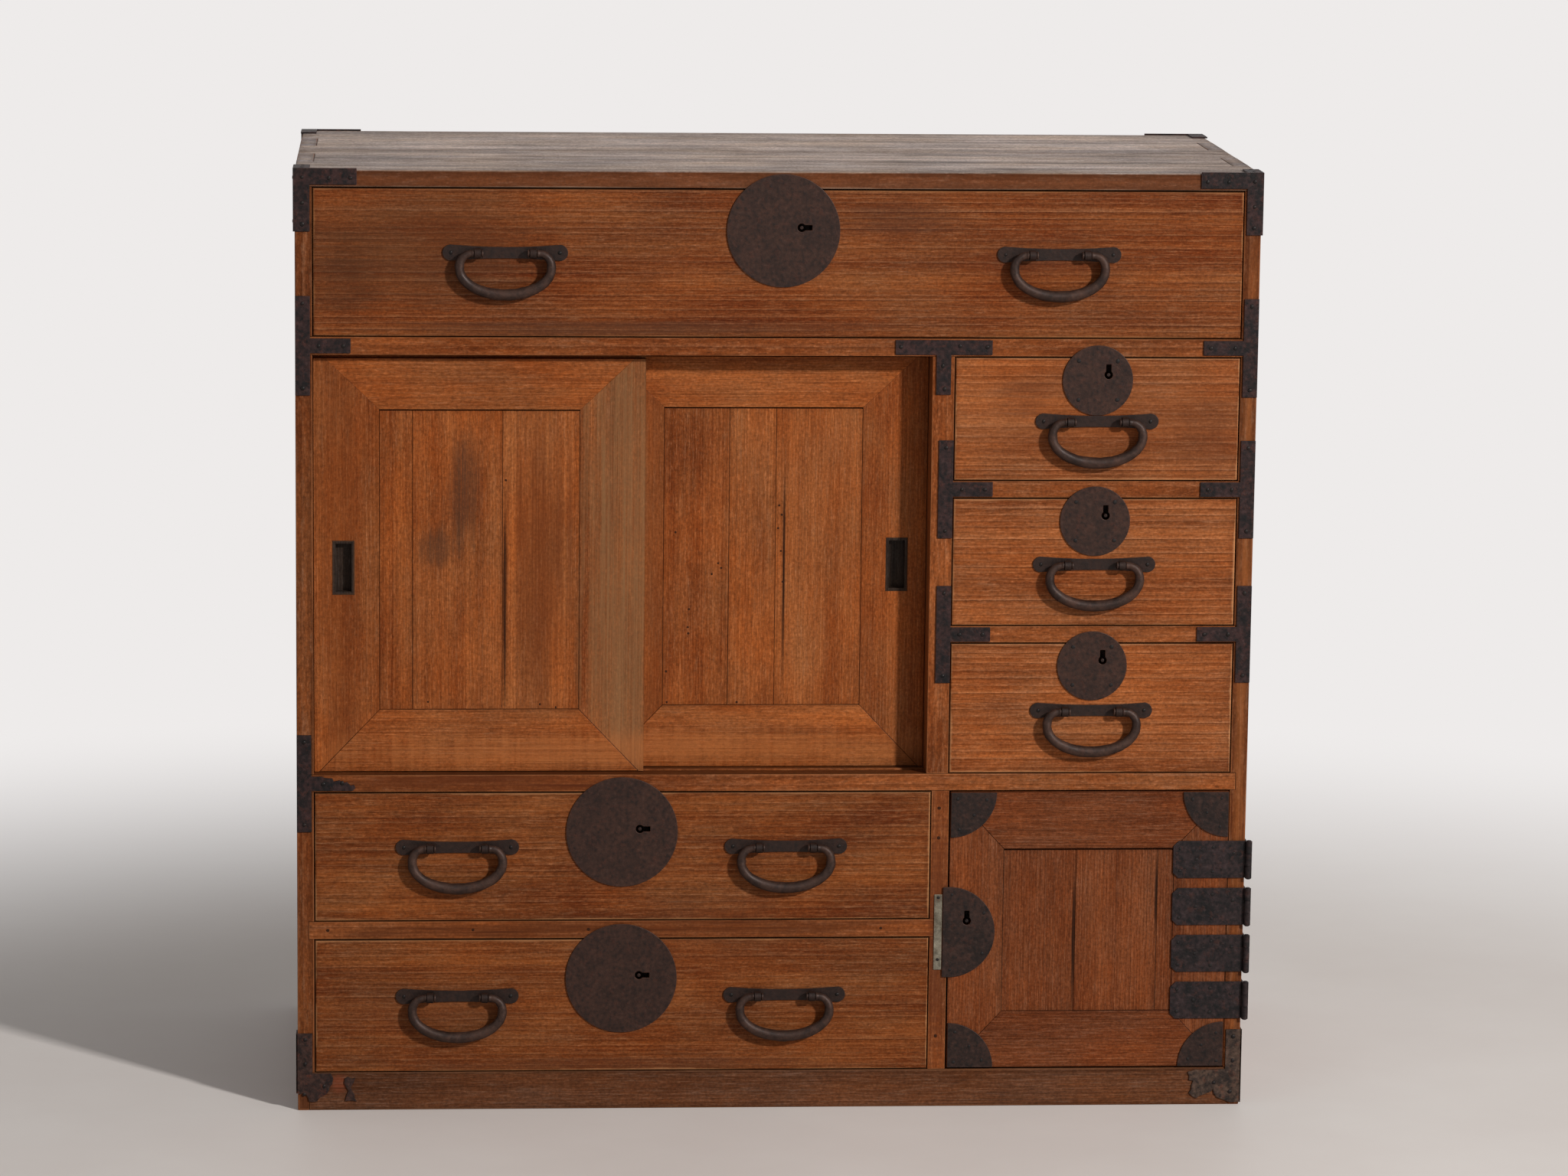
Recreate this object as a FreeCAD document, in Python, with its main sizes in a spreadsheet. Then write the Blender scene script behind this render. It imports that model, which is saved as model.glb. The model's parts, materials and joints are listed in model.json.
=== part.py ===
"""Mizuya kitchen cabinet, as an assembly of separate boards, drawers, doors and ironwork.

Millimetres. The origin is on the floor at the middle of the footprint, +X to the
right of somebody facing the front, +Y to the back, +Z up. The front faces -Y.
"""
import FreeCAD
import Part
import Sketcher
import math
import os
import re
from FreeCAD import Placement, Rotation, Vector

SIZES = [
    # the case
    ("wide", 910, "outside width of the case"),
    ("deep", 410, "outside depth of the case"),
    ("board", 16, "thickness of the top and side boards"),
    ("housing", 5, "how far rails and shelves are let into the uprights"),
    ("base_high", 37, "height of the base rail"),
    ("base_thick", 18, "thickness of the base rails"),
    ("floor_thick", 14, "thickness of the bottom board"),
    ("batten_wide", 50, "width of the batten under the bottom board"),
    ("back_thick", 9, "thickness of the back boards"),
    ("back_lap", 8, "how far the back boards lap onto the sides"),
    ("dust_thick", 8, "thickness of the dust boards"),
    ("tooth", 82, "width of one tooth of the joint between top and sides"),
    # clear heights, from the floor up
    ("low_room", 131.5, "clear height at the lowest drawer"),
    ("low_rail", 17, "rail between the lower drawers"),
    ("mid_room", 126.5, "clear height at the drawer above it"),
    ("sill", 16.5, "rail under the sliding doors"),
    ("bay_room", 402.5, "clear height behind the sliding doors"),
    ("lintel", 17, "rail under the top drawer"),
    ("top_room", 141, "clear height at the top drawer"),
    # the column of small drawers
    ("bay_wide", 584.5, "clear width behind the sliding doors"),
    ("post_thick", 21, "upright between the sliding doors and the small drawers"),
    ("shelf_rail", 16, "rails between the small drawers"),
    ("small_low_room", 127.5, "clear height at the lowest small drawer"),
    ("small_mid_room", 124, "clear height at the middle small drawer"),
    ("low_wide", 590, "clear width at the lower drawers"),
    ("low_post", 17, "upright beside the hinged door"),
    ("rail_deep", 45, "depth of the rails between drawers"),
    # drawers
    ("proud", 0.5, "how far drawer fronts and the hinged door stand proud"),
    ("front_thick", 18, "thickness of a drawer front"),
    ("front_gap", 1, "gap round a drawer front"),
    ("front_round", 1.6, "rounding of the edges of a drawer front"),
    ("drawer_back", 29.5, "space between a drawer and the back boards"),
    ("wall", 9, "thickness of the drawer sides and back"),
    ("wall_lap", 8, "how far the drawer sides are let into the front"),
    ("wall_drop", 10, "how far the drawer sides stop below the front's top"),
    ("bottom_thick", 6, "thickness of a drawer bottom"),
    ("glide", 0.3, "running clearance under and beside a drawer"),
    # handles
    ("handle_long", 117.5, "length of a handle plate"),
    ("lobe", 7.5, "radius of its round ends"),
    ("waist", 10.6, "height of its middle"),
    ("handle_thick", 1.6, "thickness of a handle plate"),
    ("eye_half", 26, "from the handle's middle to an eye"),
    ("eye_long", 6, "length of an eye along the pivot"),
    ("eye_radius", 4.8, "outer radius of an eye"),
    ("stem_radius", 2.6, "radius of the shank behind an eye"),
    ("stem_fit", 0.1, "clearance round a shank"),
    ("pivot_out", 8.5, "from the drawer's face to the pivot of a bail"),
    ("pivot_fit", 0.1, "clearance round the ends of a bail"),
    ("washer_radius", 6, "radius of the washer inside the drawer"),
    ("washer_thick", 1.5, "its thickness"),
    ("handle_rise", 9.5, "wide drawers: handle above the middle of the front"),
    ("handle_drop", 2, "small drawers: handle below the middle of the front"),
    ("top_handle_out", 261, "top drawer: from the lock to a handle"),
    ("low_handle_out", 157, "lower drawers: from the lock to a handle"),
    # bails
    ("bail_pin", 2.5, "radius of the ends of a bail"),
    ("bail_side", 4.4, "radius at its sides"),
    ("bail_grip", 5.4, "radius at the middle of its grip"),
    ("bail_half", 43, "half width, between the centres of its sides"),
    ("bail_ridge", 3.6, "radius of the ridges on both sides of an eye"),
    ("bail_ridge_long", 2, "thickness of those ridges"),
    ("bail_play", 0.4, "gap between an eye and a ridge"),
    ("bail_bend", 12, "radius of the bend beside an eye"),
    ("bail_neck", 2, "straight length below that bend"),
    ("bail_drop", 39, "from the pivot to the middle of the grip"),
    # locks
    ("top_lock_right", 2.7, "top drawer: lock right of the middle"),
    ("low_lock_left", 1.5, "lower drawers: lock left of the middle"),
    ("plate_radius", 53.4, "radius of a large lock plate"),
    ("plate_below", 38.4, "its centre below the top of the front"),
    ("small_plate_radius", 33.5, "radius of a small lock plate"),
    ("small_plate_below", 21.4, "its centre below the top of the front"),
    ("plate_thick", 1.6, "thickness of a lock plate"),
    ("key_radius", 4, "radius of a keyhole"),
    ("key_slot", 5, "width of its slot"),
    ("key_reach", 10, "from the keyhole's centre to the end of its slot"),
    ("key_pin", 1.6, "radius of the pin in a keyhole"),
    ("key_right", 17, "large plate: keyhole right of the centre"),
    ("key_up", 3, "large plate: keyhole above the centre"),
    ("small_key_right", 10, "small plate: keyhole right of the centre"),
    ("small_key_up", 5.4, "small plate: keyhole above the centre"),
    ("case_wide", 52, "width of a large lock case"),
    ("case_high", 46, "its height"),
    ("small_case_wide", 40, "width of a small lock case"),
    ("small_case_high", 34, "its height"),
    ("case_thick", 12, "thickness of a lock case"),
    ("case_low", 1, "lock case below the top of the front"),
    ("bolt_wide", 22, "width of a bolt"),
    ("bolt_long", 20, "length of a bolt"),
    ("bolt_thick", 4, "thickness of a bolt"),
    ("bolt_fit", 0.2, "clearance round a bolt"),
    ("bolt_room", 1, "space round a bolt in the slot that takes it"),
    ("slot_deep", 6, "depth of that slot"),
    # sliding doors
    ("lip", 14, "rail in front of the front sliding door"),
    ("slider_thick", 18, "thickness of a sliding door"),
    ("slider_gap", 2, "between the two sliding doors"),
    ("track_back", 10, "rail behind the rear sliding door"),
    ("tongue", 8, "thickness of the tongues in the grooves"),
    ("groove_fit", 0.5, "clearance beside a tongue"),
    ("groove_up", 10, "depth of the upper grooves"),
    ("groove_down", 4.5, "depth of the lower grooves"),
    ("tongue_up", 5, "how far a tongue stands in the upper groove"),
    ("tongue_down", 4.2, "how far a tongue stands in the lower groove"),
    ("lift", 5, "shoulder of a sliding door below the upper rail"),
    ("seat", 0.4, "shoulder of a sliding door above the lower rail"),
    ("slider_overlap", 43.5, "how far the closed sliding doors overlap"),
    ("slider_side", 0.5, "gap between a sliding door and the case"),
    ("slider_stile", 62, "width of its stiles"),
    ("slider_head", 48.5, "height of its head below the shoulder"),
    ("slider_foot", 60.5, "height of its foot above the shoulder"),
    ("panel_thick", 7, "thickness of the panel boards at their edges"),
    ("panel_back", 4, "their edges behind the face of the frame"),
    ("field_back", 0.4, "middle of the panel behind the face of the frame"),
    ("field_side", 0.3, "gap beside and below the middle of the panel"),
    ("field_top", 1.3, "gap above it"),
    ("panel_lap", 6, "how far the panel stands in its frame"),
    ("panel_fit", 0.2, "clearance round the panel"),
    ("seam", 0.3, "gap between panel boards"),
    ("pull_wide", 21, "width of a finger pull"),
    ("pull_high", 52, "height of a finger pull"),
    ("pull_deep", 10, "depth of a finger pull"),
    ("pull_rim", 3, "width of its rim"),
    ("pull_floor", 1.2, "thickness of its floor"),
    ("pull_in", 28, "from the door's outer edge to its middle"),
    ("pull_up", 197.5, "from the sill to its middle"),
    # hinged door
    ("door_gap", 1.5, "gap beside the lock, above and below the hinged door"),
    ("door_side", 0.5, "gap at its hinge side"),
    ("door_thick", 18, "thickness of the hinged door"),
    ("door_stile", 52, "width of its stiles"),
    ("door_rail", 56, "height of its head and foot"),
    ("corner_radius", 44, "radius of its corner plates"),
    ("corner_in", 0.5, "corner plates inside the door's edge"),
    ("lock_radius", 44.5, "radius of its lock plate"),
    ("lock_over", 6, "lock plate past the door's edge"),
    ("lock_key_right", 17.2, "keyhole right of the door's edge"),
    ("lock_up", 134.5, "centre of the lock plate above the door's foot"),
    ("lock_key_up", 11.2, "keyhole above the centre of the lock plate"),
    ("lock_case_in", 3, "lock case inside the door's edge"),
    ("keeper_wide", 7.4, "width of the keeper"),
    ("keeper_high", 74, "height of the keeper"),
    ("keeper_gap", 0.8, "between the keeper and the lock plate"),
    ("keeper_thick", 1.2, "thickness of the keeper"),
    # hinges
    ("hinge_high", 36.5, "height of a hinge"),
    ("hinge_step", 46.4, "from one hinge to the next"),
    ("hinge_low", 104.6, "height of the middle of the lowest hinge"),
    ("hinge_reach", 53, "strap past the edge of the door"),
    ("hinge_side", 42, "length of the leaf on the side of the case"),
    ("hinge_thick", 1.5, "thickness of a hinge leaf"),
    ("hinge_corner", 5, "cut corner of a strap"),
    ("barrel", 3.2, "outer radius of a hinge barrel"),
    ("hinge_pin", 1.5, "radius of a hinge pin"),
    ("hinge_fit", 0.08, "clearance round a hinge pin"),
    ("knuckle_gap", 0.3, "gap between knuckles"),
    ("pin_head", 2.2, "radius of the head of a hinge pin"),
    ("pin_head_high", 0.8, "height of that head"),
    # irons on the case
    ("iron", 1.6, "thickness of the corner irons and tee irons"),
    ("iron_wide", 14, "width of the strips they are made of"),
    ("corner_along", 58, "corner iron: length along the top"),
    ("corner_down", 58, "corner iron: length down the side"),
    ("corner_back", 34, "corner iron: length back over the top"),
    ("foot_up", 76, "foot iron: height"),
    ("foot_along", 36, "foot iron: length along the base"),
    ("foot_strip", 28, "foot iron: height of that strip"),
    ("foot_clear", 8, "foot iron above the floor"),
    ("tee_high", 94, "tee iron: height"),
    ("tee_reach", 52, "tee iron: length along the rail"),
    ("lintel_tee_long", 92, "tee iron over the upright: length"),
    ("lintel_tee_down", 52, "tee iron over the upright: height"),
    # for every cut
    ("over", 1, "how far a cutting shape runs past what it cuts"),
]

# how the panels are made up of boards, as shares of the panel's clear width
FRONT_SEAM_SHARES = (0.165, 0.615)
REAR_SEAM_SHARES = (0.33, 0.565)
DOOR_SEAM_SHARES = (0.425, 0.905)

doc = FreeCAD.newDocument("mizuya")
sheet = doc.addObject("Spreadsheet::Sheet", "sizes")
for row, (alias, value, note) in enumerate(SIZES, start=1):
    sheet.set("A%d" % row, note)
    sheet.set("B%d" % row, str(value))
    sheet.setAlias("B%d" % row, alias)
doc.recompute()

ALIASES = {alias for alias, value, note in SIZES}
nodes = []


def size(alias):
    """The value of a named size."""
    return float(sheet.get(alias))


def named(text):
    """An expression in which every alias is read from the sheet."""
    return re.sub(r"[a-z][a-z_]*", lambda m: "sizes." + m[0] if m[0] in ALIASES else m[0], str(text))


def bind(item, prop, text):
    """Tie a property to an expression in the named sizes."""
    item.setExpression(prop, named(text))


def place(item, x, y, z):
    """Tie the place of an object to expressions."""
    bind(item, "Placement.Base.x", x)
    bind(item, "Placement.Base.y", y)
    bind(item, "Placement.Base.z", z)
    return item


def total(*texts):
    """The sum of expressions, as one expression."""
    return "(" + " + ".join("(%s)" % text for text in texts) + ")"


def less(first, *texts):
    """The first expression without the others."""
    return "((%s)%s)" % (first, "".join(" - (%s)" % text for text in texts))


def node(name, item):
    """Keep an object as a piece of its own under its name."""
    item.Label = name
    nodes.append(item)
    return item


# the levels of the front, from the floor up
low_floor = "base_high"
low_ceiling = total(low_floor, "low_room")
mid_floor = total(low_ceiling, "low_rail")
mid_ceiling = total(mid_floor, "mid_room")
bay_floor = total(mid_ceiling, "sill")
bay_ceiling = total(bay_floor, "bay_room")
top_floor = total(bay_ceiling, "lintel")
top_ceiling = total(top_floor, "top_room")
high = total(top_ceiling, "board")
small_low_ceiling = total(bay_floor, "small_low_room")
small_mid_floor = total(small_low_ceiling, "shelf_rail")
small_mid_ceiling = total(small_mid_floor, "small_mid_room")
small_top_floor = total(small_mid_ceiling, "shelf_rail")

# the uprights, from left to right
left_out = "(-wide / 2)"
right_out = "(wide / 2)"
left_in = "(board - wide / 2)"
right_in = "(wide / 2 - board)"
post_left = total(left_in, "bay_wide")
post_right = total(post_left, "post_thick")
low_post_left = total(left_in, "low_wide")
low_post_right = total(low_post_left, "low_post")

# depths, from the front back
face = "(-deep / 2)"
back_out = "(deep / 2)"
back_in = "(deep / 2 - back_thick)"
drawer_face = "(-deep / 2 - proud)"
front_back = total(drawer_face, "front_thick")
slider_face = total(face, "lip")
rear_face = total(slider_face, "slider_thick", "slider_gap")
track_end = total(rear_face, "slider_thick", "track_back")
rail_end = total(face, "rail_deep")


def box(name, start, end):
    """A block between two corners, each given as three expressions."""
    item = doc.addObject("Part::Box", name)
    bind(item, "Length", less(end[0], start[0]))
    bind(item, "Width", less(end[1], start[1]))
    bind(item, "Height", less(end[2], start[2]))
    return place(item, *start)


TURNS = {
    "X": Rotation(Vector(0, 1, 0), 90),
    "Y": Rotation(Vector(1, 0, 0), -90),
    "Z": Rotation(),
}


def rod(name, axis, start, radius, length, turn=None):
    """A round bar along an axis from its start."""
    item = doc.addObject("Part::Cylinder", name)
    item.Placement = Placement(Vector(), turn or TURNS[axis])
    bind(item, "Radius", radius)
    bind(item, "Height", length)
    return place(item, *start)


def cut(name, base, *tools):
    """A piece with one tool after another taken out of it."""
    for count, tool in enumerate(tools, start=1):
        item = doc.addObject("Part::Cut", "%s_cut_%d" % (name, count))
        item.Base = base
        item.Tool = tool
        item.Refine = True
        base = item
    return base


def fuse(name, *items):
    """Several shapes as one solid."""
    item = doc.addObject("Part::MultiFuse", name)
    item.Shapes = list(items)
    item.Refine = True
    return item


def group(name, *items):
    """Several solids that stay separate, kept under one name."""
    item = doc.addObject("Part::Compound", name)
    item.Links = list(items)
    return item


def mitred(name, wide, run, tall, thick):
    """A frame member whose ends slope in by run over its height, outer edge first."""
    item = doc.addObject("Part::Wedge", name)
    bind(item, "Xmin", "0")
    bind(item, "Xmax", wide)
    bind(item, "Ymin", "0")
    bind(item, "Ymax", tall)
    bind(item, "X2min", run)
    bind(item, "X2max", less(wide, run))
    bind(item, "Zmin", "0")
    bind(item, "Zmax", thick)
    bind(item, "Z2min", "0")
    bind(item, "Z2max", thick)
    return item


def head_member(name, left, right, run, top, tall, front, thick):
    """The mitred member across the top of a frame."""
    item = mitred(name, less(right, left), run, tall, thick)
    item.Placement = Placement(Vector(), Rotation(Vector(1, 0, 0), -90))
    return place(item, left, front, top)


def foot_member(name, left, right, run, bottom, tall, front, thick):
    """The mitred member across the foot of a frame."""
    item = mitred(name, less(right, left), run, tall, thick)
    item.Placement = Placement(Vector(), Rotation(Vector(1, 0, 0), 90))
    return place(item, left, total(front, thick), bottom)


def rounded_board(name, start, wide, thick, tall):
    """A board whose front edges are rounded, from the lower back corner at its left."""
    body = doc.addObject("PartDesign::Body", name)
    sketch = body.newObject("Sketcher::SketchObject", name + "_outline")
    plane = [item for item in body.Origin.OriginFeatures if item.Role == "XZ_Plane"][0]
    sketch.AttachmentSupport = [(plane, "")]
    sketch.MapMode = "FlatFace"
    corners = [Vector(0, 0, 0), Vector(1, 0, 0), Vector(1, 1, 0), Vector(0, 1, 0)]
    for count, corner in enumerate(corners):
        sketch.addGeometry(Part.LineSegment(corner, corners[(count + 1) % len(corners)]), False)
    for count in range(len(corners)):
        following = (count + 1) % len(corners)
        sketch.addConstraint(Sketcher.Constraint("Coincident", count, 2, following, 1))
        level = "Horizontal" if count % 2 == 0 else "Vertical"
        sketch.addConstraint(Sketcher.Constraint(level, count))
    sketch.addConstraint(Sketcher.Constraint("Coincident", 0, 1, -1, 1))
    for label, edge, direction in (("across", 0, "DistanceX"), ("upward", 1, "DistanceY")):
        index = sketch.addConstraint(Sketcher.Constraint(direction, edge, 1, edge, 2, 1))
        sketch.renameConstraint(index, label)
    bind(sketch, "Constraints.across", wide)
    bind(sketch, "Constraints.upward", tall)
    pad = body.newObject("PartDesign::Pad", name + "_pad")
    pad.Profile = sketch
    bind(pad, "Length", thick)
    doc.recompute()
    faces = pad.Shape.Faces
    front = min(range(len(faces)), key=lambda index: faces[index].CenterOfMass.y)
    rounding = body.newObject("PartDesign::Fillet", name + "_rounding")
    rounding.Base = (pad, ["Face%d" % (front + 1)])
    bind(rounding, "Radius", "front_round")
    return place(body, *start)


def keyhole(name, x, z, upward):
    """The shape cut through a lock plate: a round hole with a slot to one side of it."""
    start = total(drawer_face, "-plate_thick - over")
    hole = rod(name + "_round", "Y", (x, start, z), "key_radius", "plate_thick + 2 * over")
    end = total(drawer_face, "over")
    half = "key_slot / 2"
    if upward:
        slot = box(name + "_slot", (less(x, half), start, z), (total(x, half), end, total(z, "key_reach")))
    else:
        slot = box(name + "_slot", (x, start, less(z, half)), (total(x, "key_reach"), end, total(z, half)))
    return fuse(name, hole, slot)


def key_passage(name, x, z, upward, thick):
    """The round hole in the wood behind a keyhole, wide enough for the whole of it."""
    shift = "((key_reach - key_radius) / 2)"
    middle = (x, total(drawer_face, "-over"), total(z, shift)) if upward else \
        (total(x, shift), total(drawer_face, "-over"), z)
    return rod(name, "Y", middle, "(key_reach + key_radius) / 2 + bolt_room", total(thick, "2 * over"))


def bone_plate(name, x, z):
    """A handle plate: a bar with hollowed edges between two round ends."""
    start = total(drawer_face, "-handle_thick")
    half = "(handle_long / 2 - lobe)"
    hollow = "(lobe - waist / 2)"
    sweep = "((%s * %s + %s * %s) / (2 * %s))" % (half, half, hollow, hollow, hollow)
    bar = box(name + "_bar", (less(x, half), start, less(z, "lobe")),
              (total(x, half), drawer_face, total(z, "lobe")))
    tools = []
    for side, sign in (("upper", "+"), ("lower", "-")):
        centre = "(%s %s (waist / 2 + %s))" % (z, sign, sweep)
        tools.append(rod("%s_%s_hollow" % (name, side), "Y", (x, total(start, "-over"), centre), sweep,
                         "handle_thick + 2 * over"))
    middle = cut(name + "_middle", bar, *tools)
    lobes = [rod("%s_lobe_%d" % (name, count), "Y", (place_x, start, z), "lobe", "handle_thick")
             for count, place_x in enumerate((less(x, half), total(x, half)), start=1)]
    return fuse(name, middle, *lobes)


pivot_y = total(drawer_face, "-pivot_out")


def eye_post(name, x, z):
    """The shank with the eye that holds one end of a bail, and the washer behind the front."""
    ring = rod(name + "_ring", "X", (less(x, "eye_long / 2"), pivot_y, z), "eye_radius", "eye_long")
    bore = rod(name + "_bore", "X", (less(x, "eye_long / 2 + over"), pivot_y, z), "bail_pin + pivot_fit",
               "eye_long + 2 * over")
    eye = cut(name + "_eye", ring, bore)
    stem_start = total(pivot_y, "(bail_pin + eye_radius) / 2")
    stem = rod(name + "_stem", "Y", (x, stem_start, z), "stem_radius",
               less(total(front_back, "washer_thick"), stem_start))
    washer = rod(name + "_washer", "Y", (x, front_back, z), "washer_radius", "washer_thick")
    return fuse(name, eye, stem, washer)


# the turn of a bail's bar from one of its sections to the next, in degrees
BAIL_STEP = 10


def bail_section(x, z, along, radius):
    """A circle of the bail's bar at a point of its path, square to the path."""
    return Part.Wire([Part.Circle(Vector(x, 0, z), along, radius).toShape()])


def bail_shape():
    """A bail hanging from its pivot: pins with ridges that point inwards, a bend, and a thick grip."""
    half = size("bail_half")
    bend = size("bail_bend")
    neck = size("bail_neck")
    reach = size("bail_drop") - bend - neck
    side = size("bail_side")
    grip = size("bail_grip")
    pin = size("bail_pin")
    path = []
    for angle in range(0, 91, BAIL_STEP):
        turn = math.radians(angle)
        point = (half - bend + bend * math.sin(turn), bend * (math.cos(turn) - 1))
        radius = pin + (side - pin) * angle / 90
        path.append((point, (math.cos(turn), -math.sin(turn)), radius))
    for angle in range(0, 91, BAIL_STEP):
        turn = math.radians(angle)
        point = (half * math.cos(turn), -bend - neck - reach * math.sin(turn))
        slope = Vector(-half * math.sin(turn), 0, -reach * math.cos(turn)).normalize()
        radius = side + (grip - side) * math.sin(turn) ** 2
        path.append((point, (slope.x, slope.z), radius))
    rest = [((-x, z), (along_x, -along_z), radius)
            for (x, z), (along_x, along_z), radius in path[-2::-1]]
    wires = [bail_section(x, z, Vector(along_x, 0, along_z), radius)
             for (x, z), (along_x, along_z), radius in path + rest]
    shape = Part.makeLoft(wires, True, True)
    ridge = size("bail_ridge_long")
    eye_side = size("eye_long") / 2 + size("bail_play")
    inner_ridge = size("eye_half") - eye_side - ridge
    outer_ridge = size("eye_half") + eye_side
    for sign in (1, -1):
        outward = Vector(sign, 0, 0)
        straight = half - bend - inner_ridge
        shape = shape.fuse(Part.makeCylinder(pin, straight, outward * inner_ridge, outward))
        for start in (inner_ridge, outer_ridge):
            shape = shape.fuse(Part.makeCylinder(size("bail_ridge"), ridge, outward * start, outward))
    return shape.removeSplitter()


def bail(name, x, z):
    """A bail on its pivot."""
    item = doc.addObject("Part::Feature", name)
    item.Shape = bail_shape()
    return place(item, x, pivot_y, z)


def lock_case(name, start, end, bolt_start, bolt_end, open_end):
    """A lock case with the channel that its bolt slides in, open towards the bolt's way out."""
    channel_start = ["%s - bolt_fit" % text for text in bolt_start]
    channel_end = ["%s + bolt_fit" % text for text in bolt_end]
    if open_end == "up":
        channel_end[2] = total(bolt_end[2], "over")
    else:
        channel_start[0] = less(bolt_start[0], "over")
    case = box(name + "_body", start, end)
    return cut(name, case, box(name + "_channel", channel_start, channel_end))


def drawer(prefix, left, right, floor, ceiling, large, lock_right, handles):
    """One drawer with its lock and handles. Returns the shape of the slot for its bolt."""
    front_left = total(left, "front_gap")
    front_right = less(right, "front_gap")
    front_low = total(floor, "front_gap")
    front_top = less(ceiling, "front_gap")
    board = rounded_board(prefix + "_board", (front_left, front_back, front_low),
                          less(front_right, front_left), "front_thick", less(front_top, front_low))
    low = total(floor, "glide")
    top = less(front_top, "wall_drop")
    end = less(back_in, "drawer_back")
    lap = less(front_back, "wall_lap")
    wall_left = box(prefix + "_left_wall", (front_left, lap, low), (total(front_left, "wall"), end, top))
    wall_right = box(prefix + "_right_wall", (less(front_right, "wall"), lap, low), (front_right, end, top))
    inner_left = total(front_left, "wall")
    inner_right = less(front_right, "wall")
    floor_top = total(low, "bottom_thick")
    back = box(prefix + "_back", (inner_left, less(end, "wall"), floor_top), (inner_right, end, top))
    bottom = box(prefix + "_bottom", (inner_left, front_back, low), (inner_right, end, floor_top))
    node(prefix + "_box", group(prefix + "_box_boards", wall_left, wall_right, back, bottom))

    middle = total("(%s + %s) / 2" % (left, right), lock_right)
    style = "" if large else "small_"
    plate_z = less(front_top, style + "plate_below")
    key_x = total(middle, style + "key_right")
    key_z = total(plate_z, style + "key_up")
    disc = rod(prefix + "_disc", "Y", (middle, total(drawer_face, "-plate_thick"), plate_z),
               style + "plate_radius", "plate_thick")
    plate = cut(prefix + "_plate", disc, keyhole(prefix + "_keyhole", key_x, key_z, not large))
    pin_start = total(drawer_face, "-plate_thick")
    key_pin = rod(prefix + "_key_pin", "Y", (key_x, pin_start, key_z), "key_pin", "plate_thick + front_thick")
    case_top = less(front_top, "case_low")
    half_case = style + "case_wide / 2"
    case_start = (less(middle, half_case), front_back, less(case_top, style + "case_high"))
    case_end = (total(middle, half_case), total(front_back, "case_thick"), case_top)
    bolt_front = total(front_back, "(case_thick - bolt_thick) / 2")
    bolt_start = (less(middle, "bolt_wide / 2"), bolt_front, less(case_top, "bolt_long"))
    bolt_end = (total(middle, "bolt_wide / 2"), total(bolt_front, "bolt_thick"), case_top)
    case = lock_case(prefix + "_case", case_start, case_end, bolt_start, bolt_end, "up")
    node(prefix + "_lock_bolt", box(prefix + "_bolt", bolt_start, bolt_end))

    passage = key_passage(prefix + "_key_passage", key_x, key_z, not large, "front_thick")
    cuts = [wall_left, wall_right, passage]
    ironwork = [plate, key_pin, case]
    half_front = "((%s + %s) / 2)" % (front_low, front_top)
    handle_z = total(half_front, "handle_rise") if large else less(half_front, "handle_drop")
    for label, shift in handles:
        x = total(middle, shift)
        name = prefix + label
        holes = [rod("%s_hole_%d" % (name, count), "Y", (post_x, pivot_y, handle_z), "stem_radius + stem_fit",
                     less(total(front_back, "over"), pivot_y))
                 for count, post_x in enumerate((less(x, "eye_half"), total(x, "eye_half")), start=1)]
        cuts += holes
        ironwork.append(cut(name + "_handle_plate", bone_plate(name + "_bone", x, handle_z), *holes))
        ironwork.append(eye_post(name + "_left_post", less(x, "eye_half"), handle_z))
        ironwork.append(eye_post(name + "_right_post", total(x, "eye_half"), handle_z))
        node(name + "_bail", bail(name + "_bail_bar", x, handle_z))
    node(prefix + "_front", cut(prefix + "_front_board", board, *cuts))
    node(prefix + "_ironwork", group(prefix + "_irons", *ironwork))
    room = "bolt_room"
    return box(prefix + "_strike",
               (less(bolt_start[0], room), less(bolt_start[1], room), less(ceiling, "over")),
               (total(bolt_end[0], room), total(bolt_end[1], room), total(ceiling, "slot_deep")))


PAIR = "_left", "_right"
top_handles = [(PAIR[0], "-top_handle_out"), (PAIR[1], "top_handle_out")]
low_handles = [(PAIR[0], "-low_handle_out"), (PAIR[1], "low_handle_out")]
one_handle = [("", "0")]
top_slot = drawer("top_drawer", left_in, right_in, top_floor, top_ceiling, True, "top_lock_right",
                  top_handles)
small_top_slot = drawer("small_drawer_1", post_right, right_in, small_top_floor, bay_ceiling, False,
                        "0", one_handle)
small_mid_slot = drawer("small_drawer_2", post_right, right_in, small_mid_floor, small_mid_ceiling, False,
                        "0", one_handle)
small_low_slot = drawer("small_drawer_3", post_right, right_in, bay_floor, small_low_ceiling, False,
                        "0", one_handle)
mid_slot = drawer("lower_drawer_1", left_in, low_post_left, mid_floor, mid_ceiling, True, "-low_lock_left",
                  low_handles)
low_slot = drawer("lower_drawer_2", left_in, low_post_left, low_floor, low_ceiling, True, "-low_lock_left",
                  low_handles)


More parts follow.
